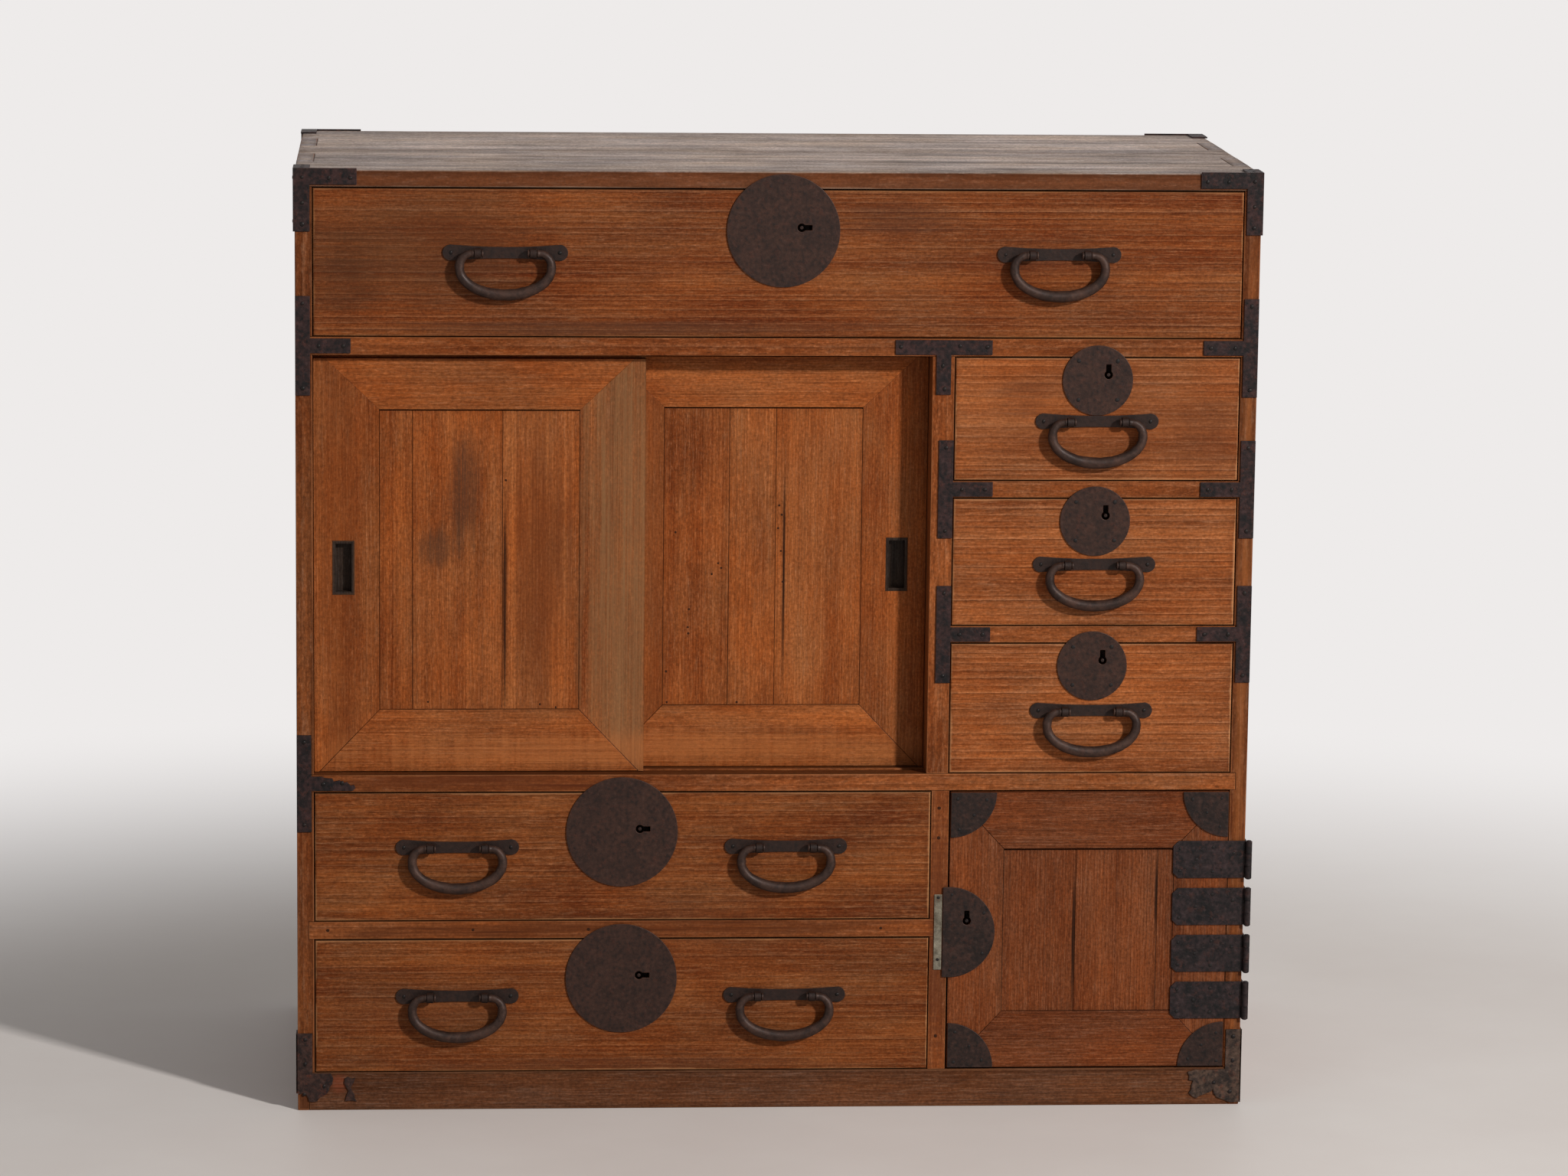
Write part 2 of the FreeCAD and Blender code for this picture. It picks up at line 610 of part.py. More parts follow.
def panel_boards(prefix, left, right, low, top, front, seam_shares):
    """The boards of a panel between the inner edges of its frame, and the groove they stand in.

    Their edges in the groove are cut back, and their middle comes nearly flush with the frame.
    """
    edge_front = total(front, "panel_back")
    start = [less(left, "panel_lap"), edge_front, less(low, "panel_lap")]
    end = [total(right, "panel_lap"), total(edge_front, "panel_thick"), total(top, "panel_lap")]
    seams = []
    for share in seam_shares:
        seam_x = "(%s + (%s - %s) * %s)" % (left, right, left, share)
        seams += [less(seam_x, "seam / 2"), total(seam_x, "seam / 2")]
    edges = [start[0], *seams, end[0]]
    fields = [total(left, "field_side"), *seams, less(right, "field_side")]
    boards = []
    for count in range(len(seam_shares) + 1):
        name = "%s_board_%d" % (prefix, count + 1)
        board = box(name + "_edge", (edges[2 * count], start[1], start[2]),
                    (edges[2 * count + 1], end[1], end[2]))
        field = box(name + "_field",
                    (fields[2 * count], total(front, "field_back"), total(low, "field_side")),
                    (fields[2 * count + 1], end[1], less(top, "field_top")))
        boards.append(fuse(name, board, field))
    groove = box(prefix + "_groove", [less(text, "panel_fit") for text in start],
                 [total(text, "panel_fit") for text in end])
    return group(prefix + "_boards", *boards), groove


def frame_members(prefix, left, right, low, top, stile, foot_tall, head_tall, front, thick):
    """The two mitred rails and two stiles of a door."""
    head = head_member(prefix + "_head", left, right, stile, top, head_tall, front, thick)
    foot = foot_member(prefix + "_foot", left, right, stile, low, foot_tall, front, thick)
    back = total(front, thick)
    stiles = [box("%s_stile_%d" % (prefix, count), (stile_left, front, low),
                  (total(stile_left, stile), back, top))
              for count, stile_left in enumerate((left, less(right, stile)), start=1)]
    shaped = [cut("%s_upright_%d" % (prefix, count), item, head, foot)
              for count, item in enumerate(stiles, start=1)]
    return group(prefix + "_members", head, foot, *shaped)


slider_wide = "((bay_wide - 2 * slider_side + slider_overlap) / 2)"


def sliding_door(prefix, left, front, pull_x, seam_shares):
    """A sliding door: tongues above and below, a frame, a panel of boards and a finger pull."""
    right = total(left, slider_wide)
    low = less(bay_floor, "tongue_down")
    top = total(bay_ceiling, "tongue_up")
    foot_tall = "(slider_foot + seat + tongue_down)"
    head_tall = "(slider_head + lift + tongue_up)"
    members = frame_members(prefix, left, right, low, top, "slider_stile", foot_tall, head_tall, front,
                            "slider_thick")
    back = total(front, "slider_thick")
    cheek = "((slider_thick - tongue) / 2)"
    shoulders = []
    for name, start, end in (("upper", less(bay_ceiling, "lift"), total(top, "over")),
                             ("lower", less(low, "over"), total(bay_floor, "seat"))):
        for side, near, far in (("front", less(front, "over"), total(front, cheek)),
                                ("back", less(back, cheek), total(back, "over"))):
            shoulders.append(box("%s_%s_%s_rebate" % (prefix, name, side), (less(left, "over"), near, start),
                                 (total(right, "over"), far, end)))
    inner_left = total(left, "slider_stile")
    inner_right = less(right, "slider_stile")
    boards, groove = panel_boards(prefix, inner_left, inner_right, total(low, foot_tall),
                                  less(top, head_tall), front, seam_shares)
    node(prefix + "_panel", boards)
    pull_z = total(bay_floor, "pull_up")
    cup = box(prefix + "_cup", (less(pull_x, "pull_wide / 2"), front, less(pull_z, "pull_high / 2")),
              (total(pull_x, "pull_wide / 2"), total(front, "pull_deep"), total(pull_z, "pull_high / 2")))
    hollow_x = "(pull_wide / 2 - pull_rim)"
    hollow_z = "(pull_high / 2 - pull_rim)"
    hollow = box(prefix + "_hollow", (less(pull_x, hollow_x), less(front, "over"), less(pull_z, hollow_z)),
                 (total(pull_x, hollow_x), total(front, "pull_deep - pull_floor"), total(pull_z, hollow_z)))
    node(prefix + "_frame", cut(prefix + "_frame", members, *shoulders, groove, cup))
    node(prefix + "_pull", cut(prefix + "_pull", cup, hollow))


front_left_edge = total(left_in, "slider_side")
rear_right_edge = less(post_left, "slider_side")
sliding_door("sliding_door_front", front_left_edge, slider_face, total(front_left_edge, "pull_in"),
             FRONT_SEAM_SHARES)
sliding_door("sliding_door_rear", less(rear_right_edge, slider_wide), rear_face,
             less(rear_right_edge, "pull_in"), REAR_SEAM_SHARES)

# the hinged door
door_left = total(low_post_right, "door_gap")
door_right = less(right_in, "door_side")
door_low = total(low_floor, "door_gap")
door_top = less(mid_ceiling, "door_gap")
door_back = total(drawer_face, "door_thick")
lock_z = total(door_low, "lock_up")
door_members = frame_members("hinged_door", door_left, door_right, door_low, door_top, "door_stile",
                             "door_rail", "door_rail", drawer_face, "door_thick")
door_boards, door_groove = panel_boards("hinged_door", total(door_left, "door_stile"),
                                        less(door_right, "door_stile"), total(door_low, "door_rail"),
                                        less(door_top, "door_rail"), drawer_face, DOOR_SEAM_SHARES)
door_key_x = total(door_left, "lock_key_right")
door_key_z = total(lock_z, "lock_key_up")
door_passage = key_passage("hinged_door_key_passage", door_key_x, door_key_z, True, "door_thick")
node("hinged_door_frame", cut("hinged_door_frame", door_members, door_groove, door_passage))
node("hinged_door_panel", door_boards)

QUARTERS = (("upper_left", 0, door_left, 1, door_top, -1), ("upper_right", 90, door_right, -1, door_top, -1),
            ("lower_right", 180, door_right, -1, door_low, 1), ("lower_left", 270, door_left, 1, door_low, 1))


def corner_plate(name, angle, x, right_sign, z, up_sign):
    """A quarter disc over one corner of the hinged door."""
    turn = Rotation(Vector(0, 1, 0), angle) * TURNS["Y"]
    start = ("(%s + %d * corner_in)" % (x, right_sign), total(drawer_face, "-plate_thick"),
             "(%s + %d * corner_in)" % (z, up_sign))
    item = rod("hinged_door_%s_plate" % name, "Y", start, "corner_radius", "plate_thick", turn)
    item.Angle = 90
    return item


def door_lock():
    """The half round lock plate, its pin, the case behind it and the bolt."""
    front = total(drawer_face, "-plate_thick")
    disc = rod("hinged_door_disc", "Y", (door_left, front, lock_z), "lock_radius", "plate_thick")
    edge = less(door_left, "lock_over")
    outside = box("hinged_door_disc_end", (less(edge, "lock_radius"), less(front, "over"),
                                           less(lock_z, "lock_radius + over")),
                  (edge, total(drawer_face, "over"), total(lock_z, "lock_radius + over")))
    plate = cut("hinged_door_lock_plate", disc, outside,
                keyhole("hinged_door_keyhole", door_key_x, door_key_z, True))
    pin = rod("hinged_door_key_pin", "Y", (door_key_x, front, door_key_z), "key_pin",
              "plate_thick + door_thick")
    case_left = total(door_left, "lock_case_in")
    case_start = (case_left, door_back, less(lock_z, "small_case_wide / 2"))
    case_end = (total(case_left, "small_case_high"), total(door_back, "case_thick"),
                total(lock_z, "small_case_wide / 2"))
    bolt_front = total(door_back, "(case_thick - bolt_thick) / 2")
    bolt_start = (case_left, bolt_front, less(lock_z, "bolt_wide / 2"))
    bolt_end = (total(case_left, "bolt_long"), total(bolt_front, "bolt_thick"),
                total(lock_z, "bolt_wide / 2"))
    case = lock_case("hinged_door_case", case_start, case_end, bolt_start, bolt_end, "left")
    node("hinged_door_lock_bolt", box("hinged_door_bolt", bolt_start, bolt_end))
    room = "bolt_room"
    strike = box("hinged_door_strike",
                 (less(low_post_right, "slot_deep"), less(bolt_start[1], room), less(bolt_start[2], room)),
                 (total(low_post_right, "over"), total(bolt_end[1], room), total(bolt_end[2], room)))
    return [plate, pin, case], strike


lock_pieces, door_strike = door_lock()
corner_plates = [corner_plate(*quarter) for quarter in QUARTERS]
node("hinged_door_ironwork", group("hinged_door_irons", *lock_pieces, *corner_plates))

# hinges of that door, on the outer corner of the case
hinge_x = total(right_out, "barrel")
hinge_y = less(drawer_face, "barrel")
knuckle = "((hinge_high - 2 * knuckle_gap) / 3)"
bore = "hinge_pin + hinge_fit"


def knuckled(name, plate, low, lengths, tongue_start, tongue_end):
    """A hinge leaf: its plate with a tongue and a rolled knuckle at each of some heights."""
    parts = [plate]
    for count, (start, length) in enumerate(lengths, start=1):
        z = total(low, start)
        parts.append(rod("%s_knuckle_%d" % (name, count), "Z", (hinge_x, hinge_y, z), "barrel", length))
        parts.append(box("%s_tongue_%d" % (name, count), (*tongue_start, z), (*tongue_end, total(z, length))))
    hole = rod(name + "_bore", "Z", (hinge_x, hinge_y, less(low, "over")), bore, "hinge_high + 2 * over")
    return cut(name, fuse(name + "_leaf", *parts), hole)


straps = []
leaves = []
for count in range(4):
    low = "(hinge_low + %d * hinge_step - hinge_high / 2)" % count
    high_end = total(low, "hinge_high")
    strap_left = less(door_right, "hinge_reach")
    strap_right = less(right_out, "knuckle_gap")
    strap_front = less(drawer_face, "hinge_thick")
    name = "strap_%d" % (count + 1)
    plate = box(name + "_plate", (strap_left, strap_front, low), (strap_right, drawer_face, high_end))
    corners = []
    for label, z in (("low", low), ("top", high_end)):
        corner = doc.addObject("Part::Prism", "%s_%s_corner" % (name, label))
        corner.Polygon = 4
        corner.Placement = Placement(Vector(), TURNS["Y"])
        bind(corner, "Circumradius", "hinge_corner")
        bind(corner, "Height", "hinge_thick + 2 * over")
        corners.append(place(corner, strap_left, less(strap_front, "over"), z))
    middle = [(total(knuckle, "knuckle_gap"), knuckle)]
    straps.append(knuckled(name, cut(name + "_shaped", plate, *corners), low, middle,
                           (less(strap_right, "hinge_thick"), strap_front), (hinge_x, drawer_face)))
    name = "leaf_%d" % (count + 1)
    leaf_right = total(right_out, "hinge_thick")
    leaf = box(name + "_plate", (right_out, face, low), (leaf_right, total(face, "hinge_side"), high_end))
    ends = [("0", knuckle), (less("hinge_high", knuckle), knuckle)]
    leaves.append(knuckled(name, leaf, low, ends, (right_out, hinge_y), (leaf_right, total(face, "over"))))
    pin = rod(name + "_pin", "Z", (hinge_x, hinge_y, less(low, "pin_head_high")), "hinge_pin",
              "hinge_high + 2 * pin_head_high")
    heads = [rod("%s_head_%s" % (name, label), "Z", (hinge_x, hinge_y, z), "pin_head", "pin_head_high")
             for label, z in (("low", less(low, "pin_head_high")), ("top", high_end))]
    leaves.append(fuse(name + "_headed_pin", pin, *heads))
node("hinged_door_straps", group("hinged_door_hinge_straps", *straps))
node("hinge_leaves", group("case_hinge_leaves", *leaves))

keeper_right = less(door_left, "lock_over", "keeper_gap")
node("door_keeper", box("keeper", (less(keeper_right, "keeper_wide"), less(face, "keeper_thick"),
                                   less(lock_z, "keeper_high / 2")),
                        (keeper_right, face, total(lock_z, "keeper_high / 2"))))


# rails across the front
housed_left = less(left_in, "housing")
housed_right = total(right_in, "housing")


def track(name, door_front, low, top):
    """One groove of a rail for the tongues of a sliding door."""
    side = "((slider_thick - tongue) / 2 - groove_fit)"
    start = total(door_front, side)
    return box(name, (left_in, start, low), (post_left, total(start, "tongue + 2 * groove_fit"), top))


def grooved_rail(prefix, floor, ceiling, groove_low, groove_top):
    """A rail across the whole front with the two grooves of the sliding doors."""
    rail = box(prefix + "_bar", (housed_left, face, floor), (housed_right, track_end, ceiling))
    tracks = [track("%s_track_%d" % (prefix, count), door_front, groove_low, groove_top)
              for count, door_front in enumerate((slider_face, rear_face), start=1)]
    return rail, tracks


lintel, lintel_tracks = grooved_rail("lintel", bay_ceiling, top_floor, less(bay_ceiling, "over"),
                                     total(bay_ceiling, "groove_up"))
upper_rail = node("upper_rail", cut("upper_rail", lintel, *lintel_tracks, small_top_slot))
sill_bar, sill_tracks = grooved_rail("sill", mid_ceiling, bay_floor, less(bay_floor, "groove_down"),
                                     total(bay_floor, "over"))
middle_rail = node("middle_rail", cut("middle_rail", sill_bar, *sill_tracks, mid_slot))

post_housed = less(post_right, "housing")
low_post_housed = total(low_post_left, "housing")
small_rails = []
small_dust = []
for name, floor, ceiling, slot in (("shelf_1", small_mid_ceiling, small_top_floor, small_mid_slot),
                                   ("shelf_2", small_low_ceiling, small_mid_floor, small_low_slot)):
    rail = box(name + "_rail", (post_housed, face, floor), (housed_right, rail_end, ceiling))
    small_rails.append(cut(name + "_slotted", rail, slot))
    small_dust.append(box(name + "_dust", (post_housed, rail_end, less(ceiling, "dust_thick")),
                          (housed_right, back_in, ceiling)))
low_bar = box("low_rail_bar", (housed_left, face, low_ceiling), (low_post_housed, rail_end, mid_floor))
low_rail_cut = cut("low_rail_slotted", low_bar, low_slot)
node("short_rails", group("short_rail_set", *small_rails, low_rail_cut))
upper_dust = box("upper_dust", (housed_left, track_end, less(top_floor, "dust_thick")),
                 (housed_right, back_in, top_floor))
middle_dust = box("middle_dust", (housed_left, track_end, less(bay_floor, "dust_thick")),
                  (housed_right, back_in, bay_floor))
low_dust = box("low_dust", (housed_left, rail_end, less(mid_floor, "dust_thick")),
               (low_post_housed, back_in, mid_floor))
node("dust_boards", group("dust_board_set", upper_dust, middle_dust, low_dust, *small_dust))

# floor and base
floor_low = less("base_high", "floor_thick")
bottom_board = node("bottom_board", box("bottom", (housed_left, total(face, "base_thick"), floor_low),
                                        (housed_right, back_in, "base_high")))
base_front = box("base_front", (housed_left, face, "0"),
                 (housed_right, total(face, "base_thick"), "base_high"))
base_back = box("base_back", (housed_left, less(back_in, "base_thick"), "0"),
                (housed_right, back_in, floor_low))
batten = box("base_batten", ("-batten_wide / 2", total(face, "base_thick"), "0"),
             ("batten_wide / 2", less(back_in, "base_thick"), floor_low))
node("base_rails", group("base_rail_set", base_front, base_back, batten))

# back boards, laid one above the other in the rebates of the sides
BACK_BOARDS = 6
lap_left = less(left_in, "back_lap")
lap_right = total(right_in, "back_lap")
back_boards = []
for count in range(BACK_BOARDS):
    low = "(%s * %d / %d + seam / 2)" % (top_ceiling, count, BACK_BOARDS)
    top = "(%s * %d / %d - seam / 2)" % (top_ceiling, count + 1, BACK_BOARDS)
    back_boards.append(box("back_board_%d" % (count + 1), (lap_left, back_in, low),
                           (lap_right, back_out, top)))
node("back_boards", group("back_board_set", *back_boards))
back_rebate = box("back_rebate", (lap_left, back_in, "-over"),
                  (lap_right, total(back_out, "over"), top_ceiling))

# the top: two boards edge to edge, with teeth that lock into the sides
planks = group("top_planks", box("top_front_plank", (left_out, face, top_ceiling), (right_out, "0", high)),
               box("top_back_plank", (left_out, "0", top_ceiling), (right_out, back_out, high)))
sockets = []
for label, low_x, high_x in (("left", less(left_out, "over"), left_in),
                             ("right", right_in, total(right_out, "over"))):
    for side, low_y in (("front", "-1.5 * tooth"), ("back", "0.5 * tooth")):
        sockets.append(box("socket_%s_%s" % (label, side), (low_x, low_y, less(top_ceiling, "over")),
                           (high_x, total(low_y, "tooth"), total(high, "over"))))
top_board = node("top_board", cut("top_board", planks, *sockets, top_slot))

# uprights, housed for everything that is let into them
case_tools = [top_board, upper_rail, middle_rail, bottom_board, base_front, base_back, back_rebate,
              upper_dust, middle_dust]
left_board = box("left_board", (left_out, face, "0"), (left_in, back_out, high))
node("left_side_board", cut("left_side", left_board, *case_tools, low_rail_cut, low_dust))
right_board = box("right_board", (right_in, face, "0"), (right_out, back_out, high))
node("right_side_board", cut("right_side", right_board, *case_tools, *small_rails, *small_dust))
post = box("post_board", (post_left, face, bay_floor), (post_right, back_in, less(top_floor, "dust_thick")))
node("column_divider", cut("column_divider", post, upper_rail, *small_rails, *small_dust))
low_post_board = box("low_post_board", (low_post_left, face, "base_high"),
                     (low_post_right, back_in, less(bay_floor, "dust_thick")))
node("lower_divider", cut("lower_divider", low_post_board, middle_rail, low_rail_cut, low_dust, door_strike))


# irons on the case
def strip(name, x_range, y_range, z_range):
    """One strip of an iron between pairs of expressions."""
    return box(name, (x_range[0], y_range[0], z_range[0]), (x_range[1], y_range[1], z_range[1]))


def from_edge(edge, inward, reach, past="iron"):
    """A range from just past an edge to a reach inside it."""
    if inward > 0:
        return less(edge, past), total(edge, reach)
    return less(edge, reach), total(edge, past)


def corner_iron(name, x_edge, x_inward, y_edge, y_inward):
    """A folded iron over an upper corner: two strips on the front or back, one on top, one on the side."""
    skin_y = from_edge(y_edge, y_inward, "0")
    whole_z = less(high, "corner_down"), total(high, "iron")
    strips = [
        strip(name + "_along", from_edge(x_edge, x_inward, "corner_along"), skin_y,
              (less(high, "iron_wide"), total(high, "iron"))),
        strip(name + "_down", from_edge(x_edge, x_inward, "iron_wide"), skin_y, whole_z),
        strip(name + "_over", from_edge(x_edge, x_inward, "iron_wide"),
              from_edge(y_edge, y_inward, "corner_back"), (high, total(high, "iron"))),
        strip(name + "_side", from_edge(x_edge, x_inward, "0"), from_edge(y_edge, y_inward, "iron_wide"),
              whole_z),
    ]
    return fuse(name, *strips)


def foot_iron(name, x_edge, x_inward):
    """A folded iron at the foot of a side: two strips on the front and one on the side."""
    skin_y = from_edge(face, 1, "0")
    strips = [
        strip(name + "_up", from_edge(x_edge, x_inward, "iron_wide"), skin_y, ("foot_clear", "foot_up")),
        strip(name + "_along", from_edge(x_edge, x_inward, "foot_along"), skin_y,
              ("foot_clear", total("foot_clear", "foot_strip"))),
        strip(name + "_side", from_edge(x_edge, x_inward, "0"), from_edge(face, 1, "iron_wide"),
              ("foot_clear", "foot_up")),
    ]
    return fuse(name, *strips)


def middle_of(low, top):
    """Halfway between two expressions."""
    return "((%s + %s) / 2)" % (low, top)


def tee_iron(name, edge, inward, z):
    """A flat iron over the end of a rail: a strip up the upright and a branch along the rail."""
    skin_y = from_edge(face, 1, "0")
    return fuse(name,
                strip(name + "_up", from_edge(edge, inward, "iron_wide", "0"), skin_y,
                      (less(z, "tee_high / 2"), total(z, "tee_high / 2"))),
                strip(name + "_branch", from_edge(edge, inward, "tee_reach", "0"), skin_y,
                      (less(z, "iron_wide / 2"), total(z, "iron_wide / 2"))))


corners = []
for depth, y_edge, y_inward in (("front", face, 1), ("back", back_out, -1)):
    for side, x_edge, x_inward in (("left", left_out, 1), ("right", right_out, -1)):
        corners.append(corner_iron("corner_iron_%s_%s" % (depth, side), x_edge, x_inward, y_edge, y_inward))
corners.append(foot_iron("foot_iron_left", left_out, 1))
corners.append(foot_iron("foot_iron_right", right_out, -1))
node("corner_irons", group("corner_iron_set", *corners))

lintel_z = middle_of(bay_ceiling, top_floor)
sill_z = middle_of(mid_ceiling, bay_floor)
shelf_1_z = middle_of(small_mid_ceiling, small_top_floor)
shelf_2_z = middle_of(small_low_ceiling, small_mid_floor)
tee_left = less(post_right, "iron_wide")
tees = [
    tee_iron("tee_lintel_left", left_out, 1, lintel_z),
    tee_iron("tee_lintel_right", right_out, -1, lintel_z),
    tee_iron("tee_sill_left", left_out, 1, sill_z),
    tee_iron("tee_shelf_1_left", tee_left, 1, shelf_1_z),
    tee_iron("tee_shelf_1_right", right_out, -1, shelf_1_z),
    tee_iron("tee_shelf_2_left", tee_left, 1, shelf_2_z),
    tee_iron("tee_shelf_2_right", right_out, -1, shelf_2_z),
]
post_middle = middle_of(post_left, post_right)
tee_top = total(lintel_z, "iron_wide / 2")
skin = from_edge(face, 1, "0")
tees.append(fuse("tee_over_post",
                 strip("tee_over_post_bar", (less(post_middle, "lintel_tee_long / 2"),
                                             total(post_middle, "lintel_tee_long / 2")), skin,
                       (less(tee_top, "iron_wide"), tee_top)),
                 strip("tee_over_post_leg", (less(post_middle, "iron_wide / 2"),
                                             total(post_middle, "iron_wide / 2")), skin,
                       (less(tee_top, "lintel_tee_down"), tee_top))))
node("tee_irons", group("tee_iron_set", *tees))

doc.recompute()
faults = [item.Name for item in doc.Objects if {"Invalid", "Error"} & set(item.State)]
if faults:
    raise RuntimeError("failed objects: %s" % ", ".join(faults))
for item in nodes:
    if item.Shape.isNull() or not item.Shape.isValid():
        raise RuntimeError("bad shape: %s" % item.Label)
os.makedirs("parts", exist_ok=True)
for item in nodes:
    item.Shape.exportStep("parts/%s.step" % item.Label)
print(len(nodes), "pieces")
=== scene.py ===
"""Dresses the kitchen cabinet: worn wood with painted shade and highlights, forged iron, nails, floor, light and
camera.
"""
import json
import math
import random

import bmesh
import bpy
from mathutils import Matrix, Vector


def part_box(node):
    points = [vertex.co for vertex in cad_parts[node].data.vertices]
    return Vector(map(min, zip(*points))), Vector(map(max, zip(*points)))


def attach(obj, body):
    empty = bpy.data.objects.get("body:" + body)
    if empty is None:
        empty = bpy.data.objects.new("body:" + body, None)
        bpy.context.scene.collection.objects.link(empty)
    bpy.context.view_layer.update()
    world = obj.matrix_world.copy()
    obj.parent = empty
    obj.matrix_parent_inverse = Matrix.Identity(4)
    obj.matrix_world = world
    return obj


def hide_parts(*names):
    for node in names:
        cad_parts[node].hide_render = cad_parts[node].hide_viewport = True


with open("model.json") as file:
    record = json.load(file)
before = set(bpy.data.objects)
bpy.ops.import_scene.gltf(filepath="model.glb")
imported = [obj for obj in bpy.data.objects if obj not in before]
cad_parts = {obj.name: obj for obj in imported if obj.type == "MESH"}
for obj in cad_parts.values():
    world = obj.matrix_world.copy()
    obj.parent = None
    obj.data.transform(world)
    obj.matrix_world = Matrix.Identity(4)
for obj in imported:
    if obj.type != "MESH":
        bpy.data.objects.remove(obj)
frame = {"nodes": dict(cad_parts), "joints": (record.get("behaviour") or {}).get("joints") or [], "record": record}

SCENE = bpy.context.scene
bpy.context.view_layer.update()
record = frame["record"]
BODIES = {node: body for body, members in record["behaviour"]["bodies"].items() for node in members}

MM = 0.001

# places and sizes of the cabinet, in mm
HALF_WIDE = 455
TOP = 905
CASE_FRONT = -205
PLATE_BACK = -205.5
FRONT_DOOR = -191
REAR_DOOR = -171
IRON = 1.6


# wiring of node trees
class Graph:
    """A node tree, with short calls for the nodes that the finishes use."""

    def __init__(self, tree):
        self.tree = tree

    def feed(self, socket, value):
        """Link another node's output to a socket, or set the socket's own value."""
        if isinstance(value, bpy.types.NodeSocket):
            self.tree.links.new(value, socket)
        elif socket.type == "VECTOR" and isinstance(value, (int, float)):
            socket.default_value = (value, value, value)
        elif socket.type == "RGBA" and len(value) == 3:
            socket.default_value = (*value, 1)
        else:
            socket.default_value = value

    def node(self, kind, feeds=None, **settings):
        made = self.tree.nodes.new(kind)
        for key, value in settings.items():
            setattr(made, key, value)
        for key, value in (feeds or {}).items():
            self.feed(made.inputs[key], value)
        return made

    def math(self, operation, *values, clamp=False):
        made = self.node("ShaderNodeMath", operation=operation, use_clamp=clamp)
        for socket, value in zip(made.inputs, values):
            self.feed(socket, value)
        return made.outputs[0]

    def times(self, first, second):
        return self.math("MULTIPLY", first, second)

    def plus(self, first, second):
        return self.math("ADD", first, second)

    def minus(self, first, second):
        return self.math("SUBTRACT", first, second)

    def weighed(self, *parts):
        """The sum of (value, share) pairs, each value times its share."""
        total, *others = [self.times(value, share) for value, share in parts]
        for other in others:
            total = self.plus(total, other)
        return total

    def swing(self, value, amount):
        """How far a value of 0 to 1 is from its middle, times an amount."""
        return self.times(self.minus(value, 0.5), amount)

    def follow(self, noise, start, end):
        """From start to end as a noise goes through the range that it mostly has."""
        return self.remap(noise, 0.3, 0.7, start, end)

    def gain(self, noise, amount):
        """A factor round one that follows a noise, up and down by an amount."""
        return self.follow(noise, 1.0 - amount, 1.0 + amount)

    def vector(self, operation, *values):
        made = self.node("ShaderNodeVectorMath", operation=operation)
        for socket, value in zip(made.inputs, values):
            self.feed(socket, value)
        return made.outputs["Value" if operation == "LENGTH" else "Vector"]

    def split(self, vector):
        return self.node("ShaderNodeSeparateXYZ", {0: vector}).outputs

    def combined(self, x, y, z=0.0):
        return self.node("ShaderNodeCombineXYZ", {0: x, 1: y, 2: z}).outputs[0]

    def mix(self, factor, first, second, mode="MIX"):
        made = self.node("ShaderNodeMix", data_type="RGBA", blend_type=mode, clamp_factor=True)
        for index, value in ((0, factor), (6, first), (7, second)):
            self.feed(made.inputs[index], value)
        return made.outputs[2]

    def remap(self, value, low, high, start=0.0, end=1.0, smooth=False):
        made = self.node("ShaderNodeMapRange", {"Value": value, "From Min": low, "From Max": high,
                                                "To Min": start, "To Max": end})
        made.interpolation_type = "SMOOTHSTEP" if smooth else "LINEAR"
        return made.outputs[0]

    def noise(self, at, scale, detail=2.0, rough=0.5, warp=0.0):
        made = self.node("ShaderNodeTexNoise", {"Vector": at, "Scale": scale, "Detail": detail,
                                                "Roughness": rough, "Distortion": warp})
        return made.outputs["Fac"]

    def attribute(self, name, output="Fac"):
        return self.node("ShaderNodeAttribute", attribute_name=name).outputs[output]

    def here(self, output="Object"):
        return self.node("ShaderNodeTexCoord").outputs[output]

    def group(self, tree, feeds=None):
        made = self.node("ShaderNodeGroup")
        made.node_tree = tree
        for key, value in (feeds or {}).items():
            self.feed(made.inputs[key], value)
        return made.outputs


SOCKETS = {"number": "NodeSocketFloat", "vector": "NodeSocketVector"}


def effect(name, inputs, outputs):
    """An empty node group with named inputs and outputs. Returns its graph, its inputs and its outputs."""
    tree = bpy.data.node_groups.new(name, "ShaderNodeTree")
    for label, kind, value in inputs:
        socket = tree.interface.new_socket(name=label, in_out="INPUT", socket_type=SOCKETS[kind])
        if value is not None:
            socket.default_value = value
    for label, kind in outputs:
        tree.interface.new_socket(name=label, in_out="OUTPUT", socket_type=SOCKETS[kind])
    graph = Graph(tree)
    return graph, graph.node("NodeGroupInput").outputs, graph.node("NodeGroupOutput").inputs


# effects that the finishes share
def make_board_place():
    """Where a point lies on its board: along the grain, across it and through, and how near an arris is."""
    g, _, out = effect("board place", [], [("At", "vector"), ("Arris", "number"), ("Shift", "number")])
    at = g.attribute("board_at", "Vector")
    size = g.attribute("board_size", "Vector")
    shift = g.attribute("board_shift")
    near = g.split(g.vector("MINIMUM", at, g.vector("SUBTRACT", size, at)))
    inner = g.math("MINIMUM", g.math("MAXIMUM", near[0], near[1]), near[2])
    g.feed(out["At"], g.vector("ADD", at, g.vector("MULTIPLY", (7.3, 3.1, 1.7), shift)))
    g.feed(out["Arris"], g.math("MAXIMUM", g.math("MINIMUM", near[0], near[1]), inner))
    g.feed(out["Shift"], shift)
    return g.tree


